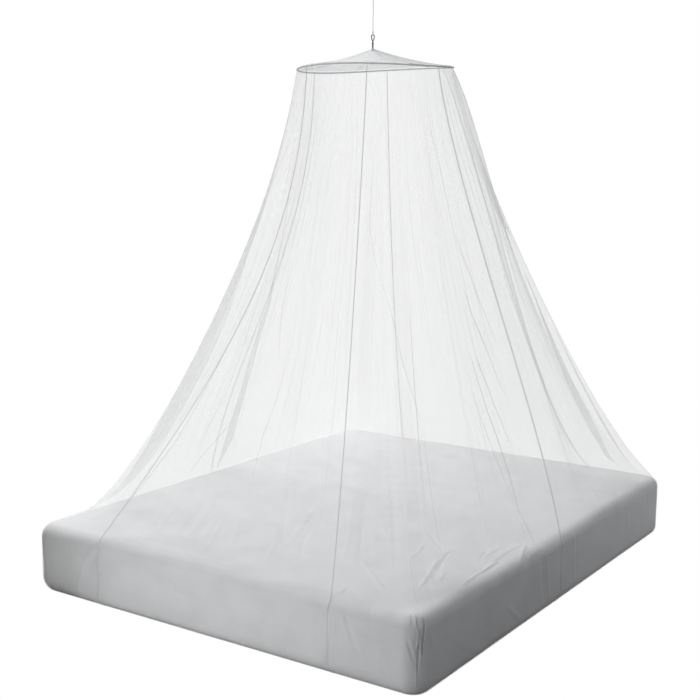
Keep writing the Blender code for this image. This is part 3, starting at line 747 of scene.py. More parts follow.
NET = 0.0012
GAP = 0.0003
SKIN = 0.0051  # from the mattress to the net
TUCK = 0.090
HOOP_CENTRE = (-0.031, 0.012)
HOOP_HEIGHT = 1.898
HOOP_RADIUS = 0.291
HOOP_TILT = 0.012
HOOP_WARP = 0.0065
CASING_RADIUS = 0.0046
WALL_TOP = HOOP_HEIGHT - CASING_RADIUS - 2 * GAP
GORES = ("foot_right", "head_right", "head", "head_left", "foot_left", "foot")
FINE_FOLDS = 120  # round the wall
SMALL_FOLDS = 16  # laid folds in each gore, besides the large ones
FOLD_GAP = 0.0004  # from the net to a laid fold
FOLD_APART = 0.0008  # between the fold's two layers
NET_PITCH = 0.0016
NET_COVER = 0.165  # the share of the net that its threads fill, seen square on
BETWEEN_THREADS = 0.62  # what is left of that cover between the threads

# How the net hangs, at places counted in gores from the first seam: lean from the upright at
# the hoop and landing slope at the mattress in degrees, the lengths over which it holds them,
# and how much of it lies along its landing slope before the edge.
HANG = (
    (0.00, 18, 0.38, 51, 0.49, 0.015),
    (0.25, 10, 0.45, 9, 0.34, 0.060),
    (0.62, 8, 0.42, 66, 0.42, 0.015),
    (1.00, 10, 0.43, 79, 0.40, 0.015),
    (1.45, 31, 0.30, 53, 0.60, 0.015),
    (1.76, 15, 0.30, 44, 0.48, 0.030),
    (2.00, 30, 0.27, 42, 0.40, 0.015),
    (2.50, 14, 0.50, 64, 0.60, 0.015),
    (3.00, 11, 0.50, 54, 0.65, 0.015),
    (3.24, 8, 0.46, 9, 0.34, 0.050),
    (3.60, 6, 0.60, 66, 0.45, 0.015),
    (4.00, 1, 0.72, 80, 0.55, 0.015),
    (4.40, 11, 0.74, 73, 0.42, 0.015),
    (4.76, 7, 0.53, 11, 0.21, 0.085),
    (5.00, 2, 0.63, 52, 0.73, 0.020),
    (5.50, 12, 0.55, 60, 0.60, 0.015),
    (6.00, 18, 0.38, 51, 0.49, 0.015),
)

# The wall's broad folds: place and half width in gores, height, and the shares of the drop
# between which the fold grows.
BROAD_FOLDS = (
    (0.16, 0.12, 0.006, 0.15, 0.70),
    (0.42, 0.15, -0.007, 0.20, 0.75),
    (0.70, 0.13, 0.008, 0.10, 0.60),
    (0.88, 0.10, -0.006, 0.08, 0.50),
    (1.14, 0.11, 0.007, 0.05, 0.45),
    (1.36, 0.13, -0.005, 0.10, 0.55),
    (1.60, 0.12, 0.005, 0.06, 0.50),
    (1.82, 0.10, -0.007, 0.15, 0.70),
    (2.20, 0.16, 0.009, 0.12, 0.60),
    (2.46, 0.14, -0.008, 0.20, 0.75),
    (2.76, 0.17, 0.010, 0.10, 0.60),
    (3.12, 0.11, -0.007, 0.12, 0.60),
    (3.38, 0.14, 0.010, 0.08, 0.55),
    (3.66, 0.13, -0.009, 0.12, 0.60),
    (3.90, 0.12, 0.012, 0.10, 0.50),
    (4.14, 0.12, -0.009, 0.10, 0.55),
    (4.38, 0.12, 0.006, 0.06, 0.50),
    (4.64, 0.12, -0.004, 0.10, 0.60),
    (4.87, 0.10, 0.004, 0.06, 0.50),
    (5.22, 0.15, -0.006, 0.15, 0.70),
    (5.50, 0.16, 0.008, 0.20, 0.80),
    (5.80, 0.15, -0.006, 0.20, 0.75),
)

# Folds in which the slack lies doubled on the inside. For each: how it is laid over, in degrees
# from straight in, then its line as share of the drop, place in gores and depth in metres.
LAID_FOLDS = (
    (10, ((0.02, 4.985, 0.002), (0.12, 4.873, 0.002), (0.25, 4.760, 0.006), (0.38, 4.660, 0.012),
          (0.52, 4.600, 0.020), (0.70, 4.585, 0.026), (0.84, 4.600, 0.020), (0.95, 4.620, 0.004))),
    (-10, ((0.02, 4.165, 0.002), (0.19, 4.160, 0.003), (0.35, 4.073, 0.006), (0.51, 3.983, 0.017),
           (0.63, 3.963, 0.023), (0.76, 3.940, 0.032), (0.90, 3.950, 0.040), (0.99, 3.975, 0.006))),
    (55, ((0.30, 5.000, 0.002), (0.48, 4.990, 0.005), (0.60, 5.000, 0.011), (0.70, 5.020, 0.020),
          (0.80, 5.040, 0.028), (0.90, 5.015, 0.022), (0.98, 4.995, 0.004))),
    (0, ((0.01, 1.640, 0.010), (0.10, 1.630, 0.016), (0.20, 1.670, 0.022), (0.31, 1.765, 0.025),
         (0.42, 1.800, 0.032), (0.54, 1.805, 0.038), (0.66, 1.810, 0.038), (0.79, 1.824, 0.040),
         (0.90, 1.860, 0.028), (0.97, 1.878, 0.001))),
    (-35, ((0.58, 1.780, 0.002), (0.70, 1.790, 0.012), (0.84, 1.800, 0.018), (0.96, 1.810, 0.003))),
    (78, ((0.46, 0.760, 0.0010), (0.50, 0.785, 0.0050), (0.54, 0.813, 0.0052),
          (0.60, 0.853, 0.0040), (0.66, 0.880, 0.0010))),
    (78, ((0.58, 0.750, 0.0010), (0.60, 0.760, 0.0042), (0.65, 0.790, 0.0045),
          (0.71, 0.820, 0.0032), (0.76, 0.840, 0.0010))),
    (76, ((0.58, 0.715, 0.0010), (0.61, 0.723, 0.0038), (0.68, 0.747, 0.0050),
          (0.74, 0.773, 0.0060), (0.80, 0.793, 0.0070), (0.88, 0.806, 0.0075),
          (0.94, 0.836, 0.0060), (0.99, 0.860, 0.0020))),
    (78, ((0.36, 0.790, 0.0010), (0.40, 0.817, 0.0036), (0.46, 0.863, 0.0036),
          (0.54, 0.900, 0.0020), (0.58, 0.910, 0.0008))),
    (78, ((0.64, 0.675, 0.0008), (0.69, 0.697, 0.0028), (0.79, 0.747, 0.0030),
          (0.86, 0.775, 0.0010))),
    (76, ((0.02, 1.058, 0.0020), (0.15, 1.063, 0.0028), (0.25, 1.067, 0.0026),
          (0.36, 1.075, 0.0010))),
    (76, ((0.40, 1.145, 0.0010), (0.49, 1.120, 0.0036), (0.56, 1.140, 0.0028),
          (0.66, 1.160, 0.0010))),
    (-76, ((0.04, 1.100, 0.0015), (0.20, 1.120, 0.0026), (0.34, 1.110, 0.0012))),
    (78, ((0.30, 3.180, 0.0010), (0.36, 3.160, 0.0030), (0.57, 3.037, 0.0042),
          (0.73, 2.967, 0.0044), (0.90, 2.890, 0.0036), (0.97, 2.870, 0.0010))),
    (75, ((0.44, 4.125, 0.0020), (0.49, 4.107, 0.0050), (0.62, 4.053, 0.0075),
          (0.74, 4.037, 0.0070), (0.85, 4.090, 0.0050), (0.93, 4.100, 0.0020))),
    (75, ((0.84, 3.930, 0.0010), (0.87, 3.955, 0.0055), (0.94, 4.080, 0.0050),
          (0.98, 4.123, 0.0020))),
    (78, ((0.44, 5.480, 0.0008), (0.48, 5.490, 0.0026), (0.54, 5.520, 0.0026),
          (0.60, 5.560, 0.0008))),
    (78, ((0.58, 5.610, 0.0008), (0.66, 5.612, 0.0030), (0.75, 5.586, 0.0036),
          (0.83, 5.585, 0.0010))),
    (76, ((0.10, 5.340, 0.0010), (0.17, 5.310, 0.0030), (0.25, 5.250, 0.0030),
          (0.33, 5.230, 0.0010))),
    (76, ((0.08, 0.720, 0.0008), (0.16, 0.742, 0.0024), (0.26, 0.770, 0.0024),
          (0.34, 0.790, 0.0008))),
)

# Widths of the seams' turned-in edges, which are laid flat to one side.
ALLOWANCES = (0.0030, 0.0062, 0.0060, 0.0032, 0.0045, 0.0050)


def hoop_lift(azimuth):
    return HOOP_TILT * np.sin(azimuth) - HOOP_WARP * np.cos(2 * azimuth)


def hang_at(column, place):
    places = [row[0] for row in HANG]
    k = min(max(int(np.searchsorted(places, place, side="right")), 1), len(places) - 1)
    share = ease((place - places[k - 1]) / (places[k] - places[k - 1]))
    return HANG[k - 1][column] + (HANG[k][column] - HANG[k - 1][column]) * share


HANGING_ROWS = 84
ARC_ROWS = 12
SIDE_ROWS = 18
LOW_ROWS = 8
TUCK_ROWS = 3


def net_line(place):
    """The net's line from the hoop to the end of its hem, at a place in gores."""
    azimuth = math.radians(np.interp(place, range(7), [row[0] for row in SEAMS]))
    edge = float(np.interp(place, range(7), [row[1] for row in SEAMS]))
    lean, upper, land, lower, lie = (hang_at(column, place) for column in range(1, 6))
    lean, land = math.radians(lean), math.radians(land)
    radius = TOP_EDGE + SKIN

    def at_edge(outset, heights):
        return np.column_stack((plan(np.full(len(heights), edge), outset)[0], heights))

    def over_edge(angles):
        return at_edge(
            SKIN - radius * (1 - np.sin(angles)), TOP + SKIN - radius * (1 - np.cos(angles))
        )

    radial = np.array((math.cos(azimuth), math.sin(azimuth), 0.0))
    start = np.array((*HOOP_CENTRE, WALL_TOP + hoop_lift(azimuth))) + radial * HOOP_RADIUS
    leaving = radial * math.sin(lean) - np.array((0, 0, math.cos(lean)))
    rest = over_edge(np.array([land]))[0]
    outward = plan([edge], SKIN)[1][0]
    run = (rest - start)[:2]
    landing = np.array((*(run * math.cos(land) / (run @ outward)), -math.sin(land)))
    landing /= np.linalg.norm(landing)
    contact = rest - landing * lie
    t = np.linspace(0, 1, HANGING_ROWS + 1)[:, None]
    hanging = (
        (1 - t) ** 3 * start
        + 3 * (1 - t) ** 2 * t * (start + leaving * upper)
        + 3 * (1 - t) * t**2 * (contact - landing * lower)
        + t**3 * contact
    )
    bend = over_edge(np.linspace(land, math.pi / 2, ARC_ROWS + 1))
    low_radius = BOTTOM_EDGE + SKIN
    low_height = BOTTOM_EDGE + GAP + NET / 2
    low_centre = NET / 2 + low_height
    side = at_edge(SKIN, np.linspace(bend[-1, 2], low_centre, SIDE_ROWS + 1)[1:-1])
    angles = np.linspace(0, math.pi / 2, LOW_ROWS + 1)
    low = at_edge(
        SKIN - low_radius * (1 - np.cos(angles)), low_centre - low_height * np.sin(angles)
    )
    inward = np.linspace(0, TUCK, TUCK_ROWS + 1)[1:]
    tucked = at_edge(SKIN - low_radius - inward, np.full(len(inward), NET / 2))
    return np.concatenate((hanging, bend, side, low, tucked))


# The drop as a share: 0 at the hoop, 1 at the mattress's edge, 2 where the hem turns under.
drop = np.concatenate(
    (
        np.linspace(0, 1, HANGING_ROWS + 1),
        np.linspace(1.0, 1.25, ARC_ROWS + 1),
        np.linspace(1.25, 1.85, SIDE_ROWS + 1)[1:-1],
        np.linspace(1.85, 2.0, LOW_ROWS + 1),
        np.full(TUCK_ROWS, 2.0),
    )
)


def sheet_normals(points):
    across = np.roll(points, -1, axis=0) - np.roll(points, 1, axis=0)
    down = np.gradient(points, axis=1)
    normals = np.cross(down, across)
    return normals / np.maximum(np.linalg.norm(normals, axis=2, keepdims=True), 1e-12)


def measured(points, axis):
    """Lengths over a grid of points, from its first row or column, along the axis."""
    steps = np.linalg.norm(np.diff(points, axis=axis), axis=2)
    start = np.zeros_like(np.take(steps, [0], axis=axis))
    return np.concatenate((start, np.cumsum(steps, axis=axis)), axis=axis)


COLUMNS = 220
places = np.concatenate([k + np.linspace(0, 1, COLUMNS + 1)[:-1] for k in range(6)])
wall = np.array([net_line(place) for place in places])
normals = sheet_normals(wall)
around = np.linalg.norm(np.roll(wall, -1, axis=0) - wall, axis=2)
gore_width = np.array([around[k * COLUMNS : (k + 1) * COLUMNS].sum(axis=0) for k in range(6)])
width_here = gore_width[np.minimum(places.astype(int), 5)]  # metres in a gore, column by row
# Broad folds end above the mattress's edge. Below it lies the slack that the sheet shares.
hanging = ease((1.0 - drop) / 0.12) * (drop <= 1)
lift = np.zeros(wall.shape[:2])
for place, half, height, start, full in BROAD_FOLDS:
    grown = ease((drop - start) / (full - start)) * hanging
    lift += height * swell(away_from(places, place), half)[:, None] * grown
edges = np.interp(places, range(7), [row[1] for row in SEAMS])
upright = ease((drop - 0.90) / 0.08) * ease((2.0 - drop) / 0.12)
lift += side_lift(edges[:, None], wall[..., 2]) * upright
# Fine folds fan out down the wall at random: place at the hoop and at the edge, half widths,
# height, and the shares of the drop where each starts, is full and ends.
draw = np.random.default_rng(11)
fine = np.zeros(wall.shape[:2])
for _ in range(FINE_FOLDS):
    top = draw.uniform(0, 6)
    foot = top + draw.normal(0, 0.03)
    half_top, half_foot = draw.uniform(0.004, 0.009), draw.uniform(0.014, 0.034)
    height = draw.choice((-1, 1)) * draw.uniform(0.0008, 0.0032)
    start = draw.uniform(-0.3, 0.5)
    full = start + draw.uniform(0.25, 0.5)
    end = draw.choice((0.8, 0.98, 1.2, 1.9), p=(0.25, 0.45, 0.15, 0.15))
    reached = np.minimum(drop, 1)
    away = away_from(places[:, None], (top + (foot - top) * reached)[None, :]) * width_here
    half = half_top + (half_foot - half_top) * reached
    grown = ease((drop - start) / (full - start)) * ease((end - drop) / 0.14)
    fine += height * swell(away, half[None, :]) * grown
drawn_out = wall.reshape(-1, 3) * (1, 1, 0.12)  # so its waves run long down the wall
rough = soft_waves(drawn_out, count=40, longest=0.35, shortest=0.06, height=0.0008, draw=draw)
fine += rough.reshape(fine.shape) * ease(drop / 0.2)
fine *= ease((2.0 - drop) / 0.12)
on_sheet = np.clip(fine, -0.0004, 0.0035)  # hardly inwards, where the net lies on the sheet
lift += np.where(drop > 1.0, on_sheet, np.clip(fine, -0.0060, 0.0060))
wall += normals * lift[..., None]
normals = sheet_normals(wall)

along_rows = measured(wall, axis=1)


def on_wall(grid, rows, where):
    """Values of a grid over the wall at some rows and places, between its columns."""
    column = (np.asarray(where) % 6) * COLUMNS
    low = np.floor(column).astype(int)
    share = (column - low)[:, None]
    return grid[low % len(grid), rows] * (1 - share) + grid[(low + 1) % len(grid), rows] * share


def net_holes_group():
    """Fine net as a mask: threads round six-sided holes. Also a slow unevenness of the yarn."""
    group, way_in, way_out = new_group(
        "net_holes", {"Cloth": "Vector", "Pitch": "Float"}, ("Threads", "Yarn")
    )
    waves = []
    for turn in np.radians((0, 60, 120)):
        across = group.nodes.new("ShaderNodeVectorMath")
        across.operation = "DOT_PRODUCT"
        across.inputs[1].default_value = (math.cos(turn), math.sin(turn), 0.0)
        group.links.new(way_in["Cloth"], across.inputs[0])
        phase = math_node(group, "DIVIDE", across.outputs["Value"], way_in["Pitch"])
        waves.append(math_node(group, "COSINE", math_node(group, "MULTIPLY", phase, math.tau)))
    total = math_node(group, "ADD", math_node(group, "ADD", waves[0], waves[1]), waves[2])
    threads = add_node(group, "MapRange", Value=total, From_Min=0.1, From_Max=-1.1)
    threads.interpolation_type = "SMOOTHSTEP"
    yarn = add_node(group, "TexNoise", Vector=way_in["Cloth"], Scale=5.0, Detail=4.0)
    group.links.new(threads.outputs["Result"], way_out["Threads"])
    group.links.new(yarn.outputs["Fac"], way_out["Yarn"])
    return group


# Scales a net colour by the factor of shade painted into it.
def toned(painted_shade_scale, *colour):
    return (*(painted_shade_scale * share for share in colour), 1.0)


def net_material(name, closing, steepest, painted_shade_scale):
    """Fine white net. Seen aslant its threads close up, down to the steepest view's cosine."""
    made, tree, shader = new_finish(name, Roughness=0.70, Sheen_Weight=0.10)
    cloth = add_node(tree, "UVMap")
    cloth.uv_map = "cloth"
    holes = add_node(
        tree, "Group", group=net_holes, Cloth=cloth.outputs["UV"], Pitch=NET_PITCH
    )
    aslant = add_node(tree, "LayerWeight", Blend=0.5)
    square = math_node(tree, "SUBTRACT", 1.0, aslant.outputs["Facing"])
    layers = math_node(tree, "POWER", math_node(tree, "MAXIMUM", square, steepest), -closing)
    open_share = math_node(tree, "POWER", 1.0 - NET_COVER, layers)
    filled = math_node(tree, "SUBTRACT", 1.0, open_share)
    relief = math_node(tree, "ADD", holes.outputs["Threads"], BETWEEN_THREADS)
    alpha = math_node(tree, "MULTIPLY", filled, relief, clamp=True)
    tree.links.new(alpha, shader.inputs["Alpha"])
    dull, bright = toned(painted_shade_scale, 0.45, 0.454, 0.458), toned(painted_shade_scale, 0.52, 0.524, 0.528)
    tinted(tree, shader, holes.outputs["Yarn"], dull, bright)
    shade = add_node(
        tree, "Mix", Factor=alpha, A=(0.0, 0.0, 0.0, 1.0), B=toned(painted_shade_scale, 0.43, 0.433, 0.437)
    )
    through = add_node(tree, "BsdfTranslucent", Color=shade.outputs["Result"])
    both = add_node(tree, "AddShader")
    tree.links.new(shader.outputs[0], both.inputs[0])
    tree.links.new(through.outputs[0], both.inputs[1])
    tree.links.new(both.outputs[0], tree.nodes["Material Output"].inputs["Surface"])
    return made


net_holes = net_holes_group()
wall_net = net_material("wall_net", closing=0.45, steepest=0.06, painted_shade_scale=1.0)


def sheet_piece(name, strips, finish):
    """Strips of cloth in one mesh, each a grid of points with its flat measures as its UV map."""
    points, faces, flat = [], [], []
    for grid, across, along in strips:
        faces += (np.array(grid_faces(*grid.shape[:2])) + sum(map(len, points))).tolist()
        points.append(grid.reshape(-1, 3))
        flat.append(np.stack((across, along), -1).reshape(-1, 2))
    mesh = bpy.data.meshes.new(name)
    mesh.from_pydata(np.concatenate(points).tolist(), [], faces)
    mesh.shade_smooth()
    layer = mesh.uv_layers.new(name="cloth")
    corner = np.zeros(len(mesh.loops), int)
    mesh.loops.foreach_get("vertex_index", corner)
    layer.data.foreach_set("uv", np.concatenate(flat)[corner].astype(np.float32).ravel())
    piece = placed(name, mesh)
    piece.data.materials.append(finish)
    return piece


# A laid fold's section: how far in and how far apart its two layers are, as shares.
FOLD_SECTION = (
    (0.0, 0.4), (0.5, 0.6), (0.96, 0.5), (1.0, 0.0), (0.96, -0.5), (0.5, -0.6), (0.0, -0.4)
)


def laid_fold(lay, line):
    """A doubled fold inside the net: in to its edge and back, along its line down the wall."""
    lay = math.radians(lay)
    shares, where, depths = (np.array(column) for column in zip(*line))
    rows = np.arange(len(drop))[(drop <= 1.0) & (drop >= shares[0]) & (drop <= shares[-1])]
    at = np.interp(drop[rows], shares, where)
    depth = np.interp(drop[rows], shares, depths)
    middle = on_wall(wall, rows, at)
    inward = -on_wall(normals, rows, at)
    run = np.gradient(middle, axis=0)
    aside = np.cross(inward, run)
    aside /= np.linalg.norm(aside, axis=1, keepdims=True)
    laid = inward * math.cos(lay) + aside * math.sin(lay)
    apart = aside * math.cos(lay) - inward * math.sin(lay)
    # A fold gets shallower towards the mattress, so that it stays above the sheet.
    above = middle[:, 2] - TOP
    room = np.clip((above - 0.010) / 0.9, 0, None) + 0.004 * (above > 0)
    depth = np.minimum(depth, np.maximum(room, 0.003))[:, None]
    grid = np.array(
        [
            middle + inward * FOLD_GAP + laid * (reach * depth) + apart * between * FOLD_APART
            for reach, between in FOLD_SECTION
        ]
    )
    across = measured(grid, axis=0)
    along = np.broadcast_to(on_wall(along_rows[..., None], rows, at)[:, 0], across.shape)
    return grid, across, along


closed = np.concatenate((wall, wall[:1]))
closed_along = np.concatenate((along_rows, along_rows[:1]))
for k, name in enumerate(GORES):
    part = slice(k * COLUMNS, (k + 1) * COLUMNS + 1)
    across = measured(closed[part], axis=0)
    across -= across[-1] / 2
    along = closed_along[part]
    strips = [(closed[part], across, along)]
    for lay, line in LAID_FOLDS:
        if k <= sum(row[1] for row in line) / len(line) < k + 1:
            strips.append(laid_fold(lay, line))
    width = ALLOWANCES[k]
    strips.append(laid_fold(80, ((0.0, k, width), (0.5, k, width), (1.0, k, width * 0.8))))
    draw = np.random.default_rng(60 + k)
    for _ in range(SMALL_FOLDS):
        start = draw.uniform(0.02, 0.6)
        end = min(start + draw.uniform(0.2, 0.5), 0.96)
        at = k + draw.uniform(0.04, 0.96)
        shift = draw.normal(0, 0.02)
        depth = draw.uniform(0.0008, 0.0022)
        middle = (start + end) / 2
        line = ((start, at, 0.0003), (middle, at + shift / 2, depth), (end, at + shift, 0.0003))
        strips.append(laid_fold(draw.choice((-78, 78)), line))
    gore = sheet_piece(f"net_{name}", strips, wall_net)
    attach(gore, "root")
    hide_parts(f"gore_{name}")

# ---- Seams of the wall ----
# Where two gores meet, their edges are turned inside, rolled together and overlocked with white
# thread, which makes a firm thin ridge from the hoop to the hem. Its thread is painted paler where
# the seam lies on the sheet: painted light.

SEAM_RADIUS = 0.0007
STITCH_PITCH = 0.005
STITCH_STEP = 0.0025
IN_FROM_NET = 0.0004


def overlocked(radius, corners=7):
    """Radii of a rolled seam, which swells under each loop of its overlock thread."""
    turn = np.arange(corners) * math.tau / corners

    def section(k):
        return radius * (1.0 + 0.16 * np.cos(turn - math.tau * k * STITCH_STEP / STITCH_PITCH))

    return section


def resampled(points):
    """Points one stitch step apart along a line."""
    steps = np.linalg.norm(np.diff(points, axis=0), axis=1)
    lengths = np.concatenate(((0,), np.cumsum(steps)))
    stops = np.linspace(0, lengths[-1], round(lengths[-1] / STITCH_STEP) + 1)
    return np.column_stack([np.interp(stops, lengths, points[:, axis]) for axis in range(3)])


overlock, tree, shader = new_finish("overlock", Roughness=0.8)
place = object_place(tree)
stitches = add_node(tree, "TexWave", Vector=place, Scale=110.0, Distortion=1.5)
stitches.bands_direction = "Z"
tint = add_node(
    tree,
    "Mix",
    Factor=stitches.outputs["Fac"],
    A=(0.40, 0.405, 0.41, 1.0),
    B=(0.56, 0.565, 0.57, 1.0),
)
parts = add_node(tree, "SeparateXYZ", Vector=place)
# Below 0.26 to 0.22 m, where the seam lies on the sheet, its thread is painted paler: painted light.
painted_light_on_sheet = add_node(tree, "MapRange", Value=parts.outputs["Z"], From_Min=0.26, From_Max=0.22)
tinted(
    tree, shader, painted_light_on_sheet.outputs["Result"], tint.outputs["Result"], (0.72, 0.72, 0.725, 1.0)
)
raised(tree, shader, stitches.outputs["Fac"], strength=0.5, distance=0.0004)

for k in range(6):
    rows = np.arange(len(drop) - TUCK_ROWS)
    line = wall[k * COLUMNS, rows] - normals[k * COLUMNS, rows] * IN_FROM_NET
    seam = new_object(f"wall_seam_{k + 1}", *tube(resampled(line), overlocked(SEAM_RADIUS)))
    seam.data.materials.append(overlock)
    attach(seam, "root")

# ---- Hoop ----
# A thin glass-fibre rod bent to a ring, its ends pushed into a sleeve. It lies in the casing,
# and hangs neither level nor quite flat.

rod, tree, shader = new_finish("glass_fibre", Roughness=0.42)
streaks = add_node(tree, "TexNoise", Vector=object_place(tree), Scale=400.0)
tinted(tree, shader, streaks.outputs["Fac"], (0.70, 0.71, 0.72, 1.0), (0.80, 0.81, 0.82, 1.0))
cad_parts["hoop"].data.materials.clear()
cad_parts["hoop"].data.materials.append(rod)

# ---- Hoop's casing ----
# A folded strip of woven tape round the rod, open along a line inside where it takes the wall's
# and the crown's edges. It is drawn up a little on the rod, so it puckers between its stitches.

CASING_STEPS = 540
CASING_OUTSIDE = 0.0034  # the tape's outer and inner radius round the rod
CASING_INSIDE = 0.0030
PUCKERS = 30
azimuths = np.linspace(0, math.tau, CASING_STEPS, endpoint=False)
draw = np.random.default_rng(5)
pucker = np.zeros(CASING_STEPS)
for _ in range(PUCKERS):
    turns = draw.integers(30, 170)
    pucker += np.sin(azimuths * turns + draw.uniform(0, math.tau)) * draw.uniform(0.4, 1.0)
pucker /= np.abs(pucker).max()
SLEEVES = (243.0, 252.0, 300.5)  # where the rod's ends and the casing's seam make it thicker
sleeve = sum(swell(np.degrees(azimuths) - at, 1.6) for at in SLEEVES)
# The tape goes round the rod from one side of the casing's open line to the other, then back.
OPEN_AT, OPEN_HALF = 205, 20
around_rod = np.radians(np.linspace(OPEN_AT - 360 + OPEN_HALF, OPEN_AT - OPEN_HALF, 22))
outside = CASING_OUTSIDE + (0.0003 * pucker + 0.0016 * sleeve)
inside = CASING_INSIDE + 0.0002 * pucker
loops = []
for radius, angles in ((outside, around_rod), (inside, around_rod[::-1])):
    for angle in angles:
        reach = HOOP_RADIUS + radius * math.cos(angle)
        loops.append(
            np.column_stack(
                (
                    HOOP_CENTRE[0] + reach * np.cos(azimuths),
                    HOOP_CENTRE[1] + reach * np.sin(azimuths),
                    HOOP_HEIGHT + hoop_lift(azimuths) + radius * math.sin(angle),
                )
            )
        )
casing = new_object(
    "casing_tape",
    np.concatenate(loops),
    grid_faces(len(loops), CASING_STEPS, ring_rows=True, ring_columns=True),
)


def woven(name, roughness, mask, dark, pale, strength):
    """A narrow woven tape, tinted by the threads or the slubs of its plain weave."""
    finish, tree, shader = new_finish(name, Roughness=roughness)
    weave = add_node(tree, "Group", group=plain_weave, Place=object_place(tree))
    tinted(tree, shader, weave.outputs[mask], dark, pale)
    raised(tree, shader, weave.outputs["Threads"], strength, distance=0.0003)
    return finish


tape = woven("tape", 0.85, "Slubs", (0.82, 0.825, 0.83, 1.0), (0.90, 0.905, 0.91, 1.0), 0.5)
casing.data.materials.append(tape)
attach(casing, "root")
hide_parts("hoop_casing")

# ---- Crown ----
# Six net triangles sewn edge to edge, held up by the loop at their tip. Each hangs a little
# slack between its seams, with fine creases that run to the tip.

CROWN_SEAM = -43.0
CROWN_RISE = 0.064
CROWN_SAG = 0.009
CROWN_DIP = 0.003
TIP_CENTRE = (-0.039, 0.006)
TIP_RADIUS = 0.0048
CROWN_FOOT = HOOP_HEIGHT + CASING_RADIUS + GAP + NET / 2
TIP_HEIGHT = CROWN_FOOT + CROWN_RISE
CROWN_COLUMNS = 30
CROWN_ROWS = 30
CROWN_FOLDS = 46
CROWN_ALLOWANCE = 0.004
CROWN_UNDER = 0.0012  # how far a turned edge lies under the panel beside it
CROWN_SEAM_RADIUS = 0.0006

shares = np.linspace(0, 1, CROWN_ROWS + 1)
crown_azimuths = np.radians(CROWN_SEAM + np.arange(6 * CROWN_COLUMNS) * 60 / CROWN_COLUMNS)
foot_heights = CROWN_FOOT + hoop_lift(crown_azimuths)
between = np.sin(3 * (crown_azimuths - math.radians(CROWN_SEAM))) ** 2
draw = np.random.default_rng(3)
crown_lift = np.zeros((len(crown_azimuths), len(shares)))
for _ in range(CROWN_FOLDS):
    at = draw.uniform(0, math.tau)
    half = draw.uniform(0.02, 0.07)
    away = (crown_azimuths - at + math.pi) % math.tau - math.pi
    height = draw.choice((-1, 1)) * draw.uniform(0.0004, 0.0014)
    grown = ease(shares / 0.3) * ease((1 - shares) / 0.2)
    crown_lift += height * swell(away, half)[:, None] * grown
crown_radius = (HOOP_RADIUS - 0.001) * (1 - shares) + TIP_RADIUS * shares
centre_x, centre_y = (
    hoop * (1 - shares) + tip * shares for hoop, tip in zip(HOOP_CENTRE, TIP_CENTRE)
)
crown = np.stack(
    (
        centre_x + crown_radius * np.cos(crown_azimuths)[:, None],
        centre_y + crown_radius * np.sin(crown_azimuths)[:, None],
        foot_heights[:, None] * (1 - shares)
        + TIP_HEIGHT * shares
        - 4 * (CROWN_SAG + CROWN_DIP * between)[:, None] * (shares * (1 - shares))
        + crown_lift,
    ),
    -1,
)
crown_closed = np.concatenate((crown, crown[:1]))
# The crown is the wall's cloth, painted 0.69 times as bright: painted shade for the light from
# above.
crown_net = net_material("crown_net", closing=1.2, steepest=0.11, painted_shade_scale=0.69)
narrow = np.minimum(CROWN_ALLOWANCE, crown_radius * 0.25)[:, None]
upwards = np.array((0.0, 0.0, 1.0))
for k in range(6):
    part = slice(k * CROWN_COLUMNS, (k + 1) * CROWN_COLUMNS + 1)
    points = crown_closed[part]
    across = measured(points, axis=0)
    across -= across[-1] / 2
    along = measured(points, axis=1)
    # The panel's edges are turned under its neighbours along both seams.
    after = crown_closed[((k + 1) * CROWN_COLUMNS + 1) % len(crown)] - points[-1]
    after /= np.linalg.norm(after, axis=1, keepdims=True)
    ahead_start = points[1] - points[0]
    ahead_start /= np.linalg.norm(ahead_start, axis=1, keepdims=True)
    points = np.concatenate(
        (
            [points[0] + ahead_start * narrow - upwards * CROWN_UNDER],
            [points[0] - upwards * CROWN_UNDER / 2],
            points,
            [points[-1] + after * narrow - upwards * 0.0007],
        )
    )
    turned_in = [across[0] - CROWN_ALLOWANCE, across[0] - 0.0005]
    across = np.concatenate((turned_in, across, [across[-1] + CROWN_ALLOWANCE]))
    along = np.concatenate((along[:1], along[:1], along, along[-1:]))
    panel = sheet_piece(f"crown_net_{k + 1}", [(points, across, along)], crown_net)
    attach(panel, "root")
    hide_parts(f"crown_panel_{k + 1}")
    line = resampled(crown[k * CROWN_COLUMNS, :-1] - upwards * CROWN_UNDER)
    seam = new_object(f"crown_seam_{k + 1}", *tube(line, overlocked(CROWN_SEAM_RADIUS)))
    seam.data.materials.append(overlock)
    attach(seam, "root")

# ---- Hanging loop ----
# One narrow grey tape, doubled and twisted on itself. It is knotted under the crown's tip, where
# it carries the net, and opens into an eye above it for the cord.

TAPE_RADIUS = 0.0017
SHANK_TURNS = 1.5
SHANK_RADIUS = 0.0019
SHANK_START = TIP_HEIGHT - 0.003
SHANK_LENGTH = 0.030
EYE_START = TIP_HEIGHT + 0.027
EYE_LENGTH = 0.026
EYE_HALF = 0.0053
KNOT_TURNS = 2.6
KNOT_WIDE, KNOT_TAPER = 0.0062, 0.0012
KNOT_TOP = TIP_HEIGHT - 0.0040
KNOT_HEIGHT = 0.0030
x, y = TIP_CENTRE


def shank_strand(shares, start):
    """One of the two strands that twist round each other between the knot and the eye."""
    return [
        (
            x + SHANK_RADIUS * math.cos(SHANK_TURNS * math.tau * t + start),
            y + SHANK_RADIUS * math.sin(SHANK_TURNS * math.tau * t + start),
            SHANK_START + SHANK_LENGTH * t,
        )
        for t in shares
    ]


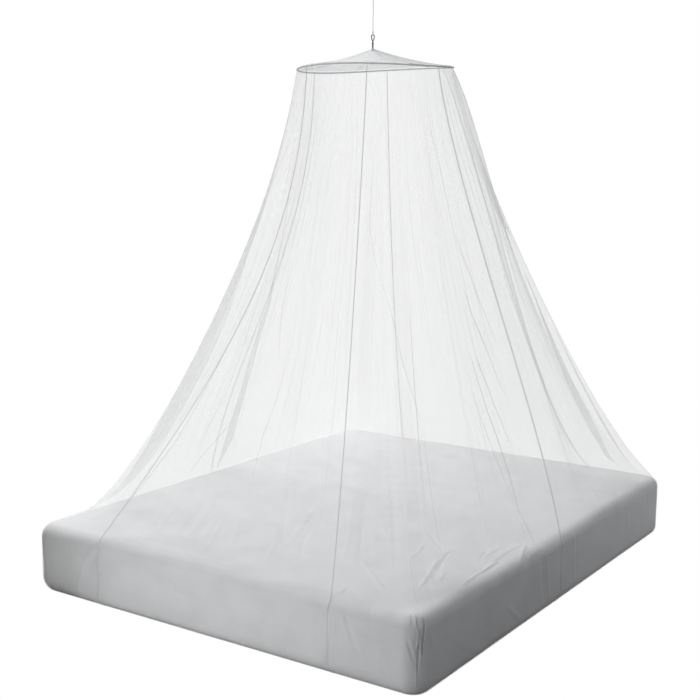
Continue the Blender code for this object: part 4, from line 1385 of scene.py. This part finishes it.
loop_line = shank_strand(np.linspace(0, 1, 60), 0.0)
eye_bend = EYE_START + EYE_LENGTH - TAPE_RADIUS - EYE_HALF
for angle in np.radians(np.linspace(-62, 242, 70)):
    reach_down = max(0.0, -math.sin(angle))
    reach = EYE_HALF * (1.0 - 0.45 * reach_down**3) * math.cos(angle)
    depth = EYE_LENGTH - 2 * TAPE_RADIUS - EYE_HALF if reach_down else EYE_HALF
    loop_line.append(
        (
            x + reach * math.cos(EYE_TURN),
            y + reach * math.sin(EYE_TURN),
            eye_bend + depth * math.sin(angle),
        )
    )
loop_line = np.array(loop_line + shank_strand(np.linspace(1, 0, 60), math.pi))
for _ in range(3):
    loop_line[1:-1] = (loop_line[:-2] + 2 * loop_line[1:-1] + loop_line[2:]) / 4
knot_line = [
    (
        x + (KNOT_WIDE - KNOT_TAPER * t) * math.cos(math.tau * KNOT_TURNS * t),
        y + (KNOT_WIDE - KNOT_TAPER * t) * math.sin(math.tau * KNOT_TURNS * t),
        KNOT_TOP - KNOT_HEIGHT * t,
    )
    for t in np.linspace(0, 1, 120)
]


def flat_tape(k):
    """Radii of a folded tape, a little flat and uneven along its length."""
    turn = np.arange(12) * math.tau / 12
    return TAPE_RADIUS * (1.0 - 0.14 * np.cos(2 * turn) + 0.05 * math.sin(k * 0.9))


hanging_loop = new_object(
    "hanging_loop_tape", *merged(tube(loop_line, flat_tape), tube(knot_line, flat_tape))
)
webbing = woven(
    "webbing", 0.80, "Threads", (0.14, 0.145, 0.16, 1.0), (0.30, 0.305, 0.32, 1.0), 0.6
)
hanging_loop.data.materials.append(webbing)
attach(hanging_loop, "root")
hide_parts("hanging_loop")

# ---- Ceiling hook ----
# A round steel plate that is screwed to the ceiling, with an open hook of bent wire under it.

steel, tree, shader = new_finish("steel", Metallic=0.9)
brushing = add_node(tree, "TexNoise", Vector=object_place(tree), Scale=900.0)
rough = add_node(tree, "MapRange", Value=brushing.outputs["Fac"], To_Min=0.26, To_Max=0.46)
tree.links.new(rough.outputs["Result"], shader.inputs["Roughness"])
tinted(tree, shader, brushing.outputs["Fac"], (0.50, 0.51, 0.53, 1.0), (0.60, 0.61, 0.63, 1.0))
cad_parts["ceiling_hook"].data.materials.clear()
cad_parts["ceiling_hook"].data.materials.append(steel)
